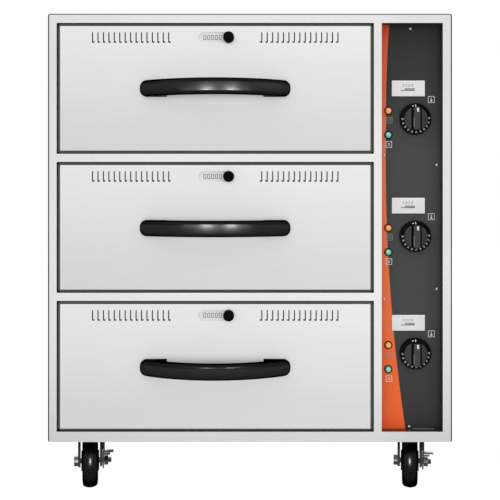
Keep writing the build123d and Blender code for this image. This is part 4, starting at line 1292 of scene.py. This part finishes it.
@dataclass
class Dial:
    """One thermostat knob, with its numbers, grey disc, dark strips and pointer.

    The dark strips beside and on the grip are partly grooves and partly painted shade of the
    grip's sides. Each is given by its shift from the middle, its width and its length.
    """

    shop: Workshop
    number: int
    number_count: int = 11
    first_figure: int = 30
    figure_step: int = 5
    first_turn: float = 181.0
    number_turn: float = 18.3
    number_size: float = 4.7 * MM
    number_ring: float = 24.8 * MM
    skirt_front: float = 6.0 * MM
    skirt_slope: float = math.atan2(4.5, 7.5)
    disc_radius: float = 21.7 * MM
    disc_start: float = 7.8 * MM
    disc_front: float = 9.0 * MM
    edge_place: Pair = (-5.9 * MM, -7.5 * MM)
    edge_size: Pair = (0.9 * MM, 18.0 * MM)
    pointer: Pair = (1.2 * MM, 15.6 * MM)
    pointer_size: Pair = (4.0 * MM, 7.2 * MM)
    pointer_taper: float = 0.85
    pointer_lean: float = 0.4 * MM

    FACING_FRONT = -0.3
    GRIP_RAISE = FILM / 3
    TOP_MARKS = ((102.0, 1.6 * MM, 3.2 * MM), (90.5, 5.0 * MM, 1.6 * MM))
    # dark strips on the disc and on the grip: partly grooves, partly painted shade of the grip's sides
    DISC_GROOVE_SHADES = ((-7.85 * MM, 1.4 * MM, 39.5 * MM), (9.0 * MM, 3.7 * MM, 39.5 * MM))
    GRIP_GROOVE_SHADES = ((-6.8 * MM, 0.7 * MM, 40.0 * MM), (6.5 * MM, 1.3 * MM, 40.0 * MM))

    def dress(self) -> None:
        """Dress the knob and print what is on it."""
        centre, front = dial_centre(self.number), panel_front()
        node = f"thermostat_knob_{self.number}"

        def on_disc(face: bmesh.types.BMFace) -> bool:
            """Tell whether a face is on the grey disc or on the front of the grip.

            Args:
                face: a face of the knob.

            Returns:
                Whether it is.
            """
            point = face.calc_center_median()
            reach = math.hypot(point.x - centre.x, point.z - centre.z)
            before = point.y < front - self.disc_start
            return face.normal.y < self.FACING_FRONT and before and reach < self.disc_radius

        self.shop.clean(node, Coat("knob_black", "knob_black", accent="dial_face"), chosen=on_disc)
        self.fit("dial_numbers", self.numerals(centre), "print_white")
        disc = front - self.disc_front - FILM / 2
        grip = centre.y - self.GRIP_RAISE
        # dark strips beside and on the grip, partly grooves and partly painted shade
        groove_shades = bmesh.new()
        for rows, y in ((self.DISC_GROOVE_SHADES, disc), (self.GRIP_GROOVE_SHADES, grip)):
            for shift, width, length in rows:
                block(groove_shades, (width, length, FILM), spot(centre.x + shift, y, centre.z))
        self.fit("dial_groove_shades", groove_shades, "knob_black")
        edge = bmesh.new()
        where = spot(centre.x + self.edge_place[0], grip, centre.z + self.edge_place[1])
        block(edge, (*self.edge_size, FILM), where)
        self.fit("dial_edge", edge, "print_grey")
        self.fit("dial_pointer", self.pointer_mark(centre), "print_white")

    def fit(self, name: str, mesh: bmesh.types.BMesh, finish: str) -> None:
        """Fit a printed piece to the knob."""
        self.shop.piece(f"{name}_{self.number}", mesh, f"knob_{self.number}", Coat(finish, "knob_black"))

    def pointer_mark(self, centre: Vector) -> bmesh.types.BMesh:
        """Make the white pointer, narrower at its foot.

        Args:
            centre: the knob's centre.

        Returns:
            A new bmesh.
        """
        mesh = bmesh.new()
        x, z = centre.x + self.pointer[0], centre.z + self.pointer[1]
        for corner in block(mesh, (*self.pointer_size, FILM), spot(x, centre.y - FILM / 2, z)):
            if corner.co.z < z:
                corner.co.x = x + (corner.co.x - x) * self.pointer_taper + self.pointer_lean
        return mesh

    def on_skirt(self, centre: Vector, turn: float) -> Matrix:
        """Find a place on the skirt's cone.

        Args:
            centre: the knob's centre.
            turn: the angle round it in degrees.

        Returns:
            The place, its own X towards the middle.
        """
        return (
            spot(centre.x, panel_front() - self.skirt_front, centre.z)
            @ Matrix.Rotation(math.radians(turn), 4, "Z")
            @ Matrix.Translation((self.number_ring, 0, 0))
            @ Matrix.Rotation(math.pi, 4, "Z")
            @ Matrix.Rotation(-self.skirt_slope, 4, "Y")
        )

    def numerals(self, centre: Vector) -> bmesh.types.BMesh:
        """Print the numbers round the skirt, and the marks at its top.

        Args:
            centre: the knob's centre.

        Returns:
            A new bmesh.
        """
        printed = bmesh.new()
        for step in range(self.number_count):
            figure = lettering(str(self.first_figure + self.figure_step * step), self.number_size)
            where = self.on_skirt(centre, self.first_turn + step * self.number_turn)
            bmesh.ops.transform(figure, matrix=where, verts=figure.verts)
            data = bpy.data.meshes.new("figure")
            figure.to_mesh(data)
            figure.free()
            printed.from_mesh(data)
            bpy.data.meshes.remove(data)
        for turn, *size in self.TOP_MARKS:
            block(printed, (*size, FILM), self.on_skirt(centre, turn))
        return printed


@dataclass
class Signs:
    """The small square signs beside a knob and below its lamps.

    Each sign's bars are given by their shift across and up, their width, height and turn.
    """

    shop: Workshop
    number: int
    size: float = 12.4 * MM
    lamp_sign_size: float = 11.8 * MM
    line: float = 1.0 * MM
    print_front: float = 0.35 * MM
    from_knob: Pair = (30.4 * MM, 36.8 * MM)
    from_amber: Pair = (1.98 * MM, -24.0 * MM)
    from_green: Pair = (1.1 * MM, -24.2 * MM)
    bulb_radius: float = 2.0 * MM
    bulb_drop: float = 2.2 * MM
    bulb_sides: int = 20

    CROSSING = 0.4 * FILM
    BARS = {
        Sign.HEAT: ((0.0, 1.0 * MM, 1.1 * MM, 6.0 * MM, 0.0),),
        Sign.POWER: tuple((shift * MM, 0.0, 0.9 * MM, 6.5 * MM, 0.0) for shift in (-2.6, 0.0, 2.6)),
        Sign.READY: tuple((0.0, 0.0, 0.9 * MM, 7.0 * MM, turn) for turn in (-0.7, 0.7)),
    }

    def dress(self) -> None:
        """Print the unit's three signs."""
        places = {
            Sign.HEAT: (dial_centre(self.number), self.from_knob, self.size),
            Sign.POWER: (self.lamp_top(Signal.AMBER), self.from_amber, self.lamp_sign_size),
            Sign.READY: (self.lamp_top(Signal.GREEN), self.from_green, self.lamp_sign_size),
        }
        for sign, (start, (across, up), size) in places.items():
            self.print(sign, start.x + across, start.z + up, size)

    def lamp_top(self, signal: Signal) -> Vector:
        """Return the top of this unit's lamp of a colour."""
        low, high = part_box(f"{signal.value}_lamps")
        return Vector(((low.x + high.x) / 2, low.y, high.z - unit_drop(self.number)))

    def print(self, sign: Sign, x: float, z: float, size: float) -> None:
        """Print one sign.

        Args:
            sign: the sign.
            x: the X of its middle.
            z: the Z of its middle.
            size: the side of its square outline.
        """
        front = panel_front() - self.print_front
        mesh = bmesh.new()
        self.square(mesh, spot(x, front, z), size)
        if sign is Sign.HEAT:
            bmesh.ops.create_cone(
                mesh,
                cap_ends=True,
                segments=self.bulb_sides,
                radius1=self.bulb_radius,
                radius2=self.bulb_radius,
                depth=FILM,
                matrix=spot(x, front - FILM / 2, z - self.bulb_drop),
            )
        for across, up, width, height, turn in self.BARS[sign]:
            raised = self.CROSSING if turn > 0 else 0.0
            bar = spot(x + across, front - raised, z + up) @ Matrix.Rotation(turn, 4, "Z")
            block(mesh, (width, height, FILM), bar)
        finish = "print_grey" if sign is Sign.POWER else "print_white"
        name = f"sign_{sign.value}_{self.number}"
        self.shop.piece(name, mesh, "cabinet", Coat(finish, "panel_charcoal"))

    def square(self, mesh: bmesh.types.BMesh, where: Matrix, size: float) -> None:
        """Add the square outline of a sign.

        Args:
            mesh: the bmesh to add to.
            where: the place of its middle.
            size: its side.
        """
        reach, line = (size - self.line) / 2, self.line
        for side in (-1, 1):
            block(mesh, (size, line, FILM), where @ Matrix.Translation((0, side * reach, 0)))
            upright = where @ Matrix.Translation((side * reach, 0, 0))
            block(mesh, (line, size - 2 * line, FILM), upright)


@dataclass
class Caster:
    """One swivel caster: fork, wheel and, at the front, its brake.

    The flange's foot and head are places behind and above the axle, and its reach is along it.
    """

    shop: Workshop
    number: int
    edge_radius: float = 0.6 * MM
    crown: float = 1.25 * MM
    tread_cuts: int = 4
    flange_foot: Pair = (-3.6 * MM, 20.0 * MM)
    flange_head: Pair = (8.6 * MM, 54.0 * MM)
    flange_reach: Pair = (23.1 * MM, 27.8 * MM)
    flange_sheet: float = 2.4 * MM

    TREAD_START = 0.8
    TREAD_HALF, CUT_HALF = 0.5, 0.48
    LOOKS_UP, LOOKS_OUT = 0.5, 0.9

    def dress(self) -> None:
        """Dress the caster's nodes, with painted shade in their hollows and painted light on top and on the
        edges.
        """
        # the dark copy is painted shade; the pale copy is painted light on faces that look up or out, and on
        # the bevelled edges
        plated = Coat("fork_steel", "zinc_steel", bevel=self.edge_radius, accent="fork_bright")
        self.shop.clean(f"caster_fork_{self.number}", plated, chosen=self.painted_lit)
        rubber = Coat("tyre_rubber", "wheel_rubber", Edge.SOFT)
        self.shop.clean(f"caster_wheel_{self.number}", rubber, shaped=self.crowned)
        if f"brake_lever_{self.number}" in frame["nodes"]:
            self.shop.clean(f"brake_lever_{self.number}", plated, chosen=self.painted_lit)
            self.brake_flange()

    def across(self) -> Vector:
        """Look up the direction of the wheel's axle at rest.

        Returns:
            A vector of length 1.
        """
        joints = frame["record"]["behaviour"]["joints"]
        spin = next(joint for joint in joints if joint["name"] == f"wheel_spin_{self.number}")
        return Vector(spin["axis"]).normalized()

    def brake_flange(self) -> None:
        """Fold a stiff flange out of the fork's leading edge, above the brake lever's foot."""
        (back, low), (head_back, high) = self.flange_foot, self.flange_head
        run, rise = head_back - back, high - low
        inside, outside = self.flange_reach
        where = (
            Matrix.Translation(middle(f"caster_wheel_{self.number}"))
            @ self.across().to_track_quat("X", "Z").to_matrix().to_4x4()
            @ Matrix.Translation(((inside + outside) / 2, back + run / 2, low + rise / 2))
            @ Matrix.Rotation(-math.atan2(run, rise), 4, "X")
        )
        mesh = bmesh.new()
        block(mesh, (outside - inside, self.flange_sheet, math.hypot(run, rise)), where)
        body = frame["nodes"][f"caster_fork_{self.number}"]["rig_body"]
        # the flange has the dark copy only: painted shade
        coat = Coat("fork_steel", "zinc_steel", bevel=self.edge_radius)
        self.shop.piece(f"fork_flange_{self.number}", mesh, body, coat)

    def crowned(self, mesh: bmesh.types.BMesh) -> None:
        """Round the tread across its width, which leaves its middle line where it was.

        Args:
            mesh: the copy of the wheel.
        """
        low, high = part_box(f"caster_wheel_{self.number}")
        centre, radius = (low + high) / 2, (high.z - low.z) / 2
        across = self.across()
        start = self.TREAD_START * radius
        tyre = [v for v in mesh.verts if self.spoke(v, centre, across).length > start]
        reach = max(abs((v.co - centre).dot(across)) for v in tyre)
        for step in range(-self.tread_cuts, self.tread_cuts + 1):
            bmesh.ops.bisect_plane(
                mesh,
                geom=[*mesh.verts, *mesh.edges, *mesh.faces],
                plane_co=centre + across * (step * self.CUT_HALF * reach / self.tread_cuts),
                plane_no=across,
            )
        for vertex in mesh.verts:
            spoke = self.spoke(vertex, centre, across)
            if spoke.length > start:
                share = min(self.TREAD_HALF, abs((vertex.co - centre).dot(across)) / reach)
                vertex.co -= spoke.normalized() * self.crown * (share / self.TREAD_HALF) ** 2

    @staticmethod
    def spoke(vertex: bmesh.types.BMVert, centre: Vector, across: Vector) -> Vector:
        """Return the vector from the axle's line to a vertex."""
        reach = vertex.co - centre
        return reach - across * reach.dot(across)

    @staticmethod
    def painted_lit(face: bmesh.types.BMFace) -> bool:
        """Tell whether a face looks up or outwards past the wheel, where it takes the painted light."""
        return face.normal.z > Caster.LOOKS_UP or abs(face.normal.x) > Caster.LOOKS_OUT


@dataclass(frozen=True)
class Lamp:
    """A soft area lamp, with its place, the point that it faces, its sides in metres and its watts."""

    name: str
    place: Triple
    aim: Triple
    sides: Pair
    power: float

    def hang(self, lit: bpy.types.Collection | None = None) -> None:
        """Hang the lamp.

        Args:
            lit: the only collection that it lights, or None for the whole scene.
        """
        data = bpy.data.lights.new(self.name, "AREA")
        data.shape = "RECTANGLE"
        data.size, data.size_y = self.sides
        data.energy = self.power
        holder = bpy.data.objects.new(self.name, data)
        holder.location = self.place
        turn = (Vector(self.aim) - Vector(self.place)).to_track_quat("-Z", "Y")
        holder.rotation_euler = turn.to_euler()
        bpy.context.scene.collection.objects.link(holder)
        if lit:
            holder.light_linking.receiver_collection = lit


@dataclass
class Studio:
    """A white studio with soft lamps, and the camera at the photograph's angle.

    Some lamps light only the black handles, or only the tyres, to glint on their middles.
    """

    distance: float = 1.650
    eye_height: float = 0.5691
    lens: float = 64.0
    sensor: float = 36.0
    horizon_shift: float = -0.116
    floor_size: float = 14.0
    floor_tone: float = 0.8
    floor_roughness: float = 0.9
    floor_glow: float = 1.03
    floor_white: float = 0.97
    matt_light: float = 0.85

    ROOM_LAMPS = (
        Lamp("key", (-2.2, -2.07, 2.4), (0.0, 0.0, 0.5), (1.8, 1.8), 8),
        Lamp("fill", (2.3, -1.87, 1.5), (0.0, 0.0, 0.5), (1.6, 1.6), 5),
        Lamp("top", (0.0, 0.0, 2.9), (0.0, 0.0, 0.0), (2.4, 2.4), 12),
    )
    HANDLE_LAMPS = (
        Lamp("handle_left", (-0.50, -2.9, 0.73), (-0.06, -0.3, 0.6), (0.42, 0.18), 40),
        Lamp("handle_right", (0.64, -2.9, 0.73), (-0.06, -0.3, 0.6), (0.42, 0.18), 40),
        Lamp("handle_glow", (-0.04, -2.9, 0.73), (-0.06, -0.3, 0.6), (3.6, 0.35), 30),
    )
    TYRE_LAMPS = (Lamp("tyre", (0.0, -1.95, 0.44), (0.0, -0.25, 0.05), (0.12, 0.5), 85),)

    def build(self) -> None:
        """Set up the view, the floor, the world and the lamps of the room."""
        bpy.context.scene.view_settings.view_transform = "Standard"
        self.camera()
        self.floor()
        self.world()
        for lamp in self.ROOM_LAMPS:
            lamp.hang()

    def camera(self) -> None:
        """Place the camera level, with the horizon where the photograph has it."""
        data = bpy.data.cameras.new("view")
        data.lens = self.lens
        data.sensor_width = self.sensor
        data.shift_y = self.horizon_shift
        holder = bpy.data.objects.new("view", data)
        holder.location = (0.0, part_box("face_frame")[0].y - self.distance, self.eye_height)
        holder.rotation_euler = (math.pi / 2, 0.0, 0.0)
        bpy.context.scene.collection.objects.link(holder)
        bpy.context.scene.camera = holder

    def floor(self) -> None:
        """Lay a pale floor that is white to the camera and keeps the shadow."""
        mesh = bmesh.new()
        bmesh.ops.create_grid(mesh, x_segments=1, y_segments=1, size=self.floor_size / 2)
        data = bpy.data.meshes.new("floor")
        mesh.to_mesh(data)
        mesh.free()
        ground = bpy.data.objects.new("floor", data)
        bpy.context.scene.collection.objects.link(ground)
        surface = Surface("floor_white")
        surface.dress(Base_Color=tone(self.floor_tone), Roughness=self.floor_roughness)
        ray = surface.node("LightPath")
        seen = surface.out(ray, "Is Camera Ray").at_least(surface.out(ray, "Is Glossy Ray"))
        plain = surface.node("Emission", Color=tone(WHITE), Strength=self.floor_glow)
        mixed = surface.node("MixShader")
        parts = (seen * self.floor_white, surface.out(surface.shader), surface.out(plain))
        for socket, value in zip(mixed.inputs, parts):
            surface.feed(socket, value)
        output = surface.tree.nodes["Material Output"]
        surface.feed(output.inputs["Surface"], surface.out(mixed))
        data.materials.append(surface.material)

    def world(self) -> None:
        """Make the room evenly white, a little dimmer on matt surfaces than in reflections."""
        world = bpy.data.worlds.new("studio")
        world.use_nodes = True
        bpy.context.scene.world = world
        tree = world.node_tree
        background = tree.nodes["Background"]
        background.inputs["Color"].default_value = tone(WHITE)
        ray = tree.nodes.new("ShaderNodeLightPath")
        seen = Shade(tree, ray.outputs["Is Camera Ray"]).at_least(Shade(tree, ray.outputs["Is Glossy Ray"]))
        strength = seen * (1.0 - self.matt_light) + self.matt_light
        tree.links.new(strength.socket, background.inputs["Strength"])

    def accent(self, name: str, pieces: list[bpy.types.Object], lamps: Iterable[Lamp]) -> None:
        """Hang lamps that light only some pieces.

        Args:
            name: the name of the pieces' collection.
            pieces: what the lamps light.
            lamps: the lamps.
        """
        lit = bpy.data.collections.new(name)
        for piece in pieces:
            lit.objects.link(piece)
        for lamp in lamps:
            lamp.hang(lit)


def main() -> None:
    """Build every sub-assembly in order."""
    shop = Workshop(Finishes())
    studio = Studio()
    studio.build()
    Cabinet(shop).dress()
    ControlPanel(shop).dress()
    for signal in Signal:
        LampRow(shop, signal).dress()
    for number in DRAWERS:
        Display(shop, number).dress()
        Dial(shop, number).dress()
        Signs(shop, number).dress()
    for number in DRAWERS:
        Drawer(shop, number).dress()
    for number in CASTERS:
        Caster(shop, number).dress()
    for handle in shop.made["handle_black"]:
        handle.visible_glossy = False
    studio.accent("lit_by_handle_lamps", shop.made["handle_black"], studio.HANDLE_LAMPS)
    studio.accent("lit_by_tyre_lamp", shop.made["tyre_rubber"], studio.TYRE_LAMPS)


if __name__ == "__main__":
    main()
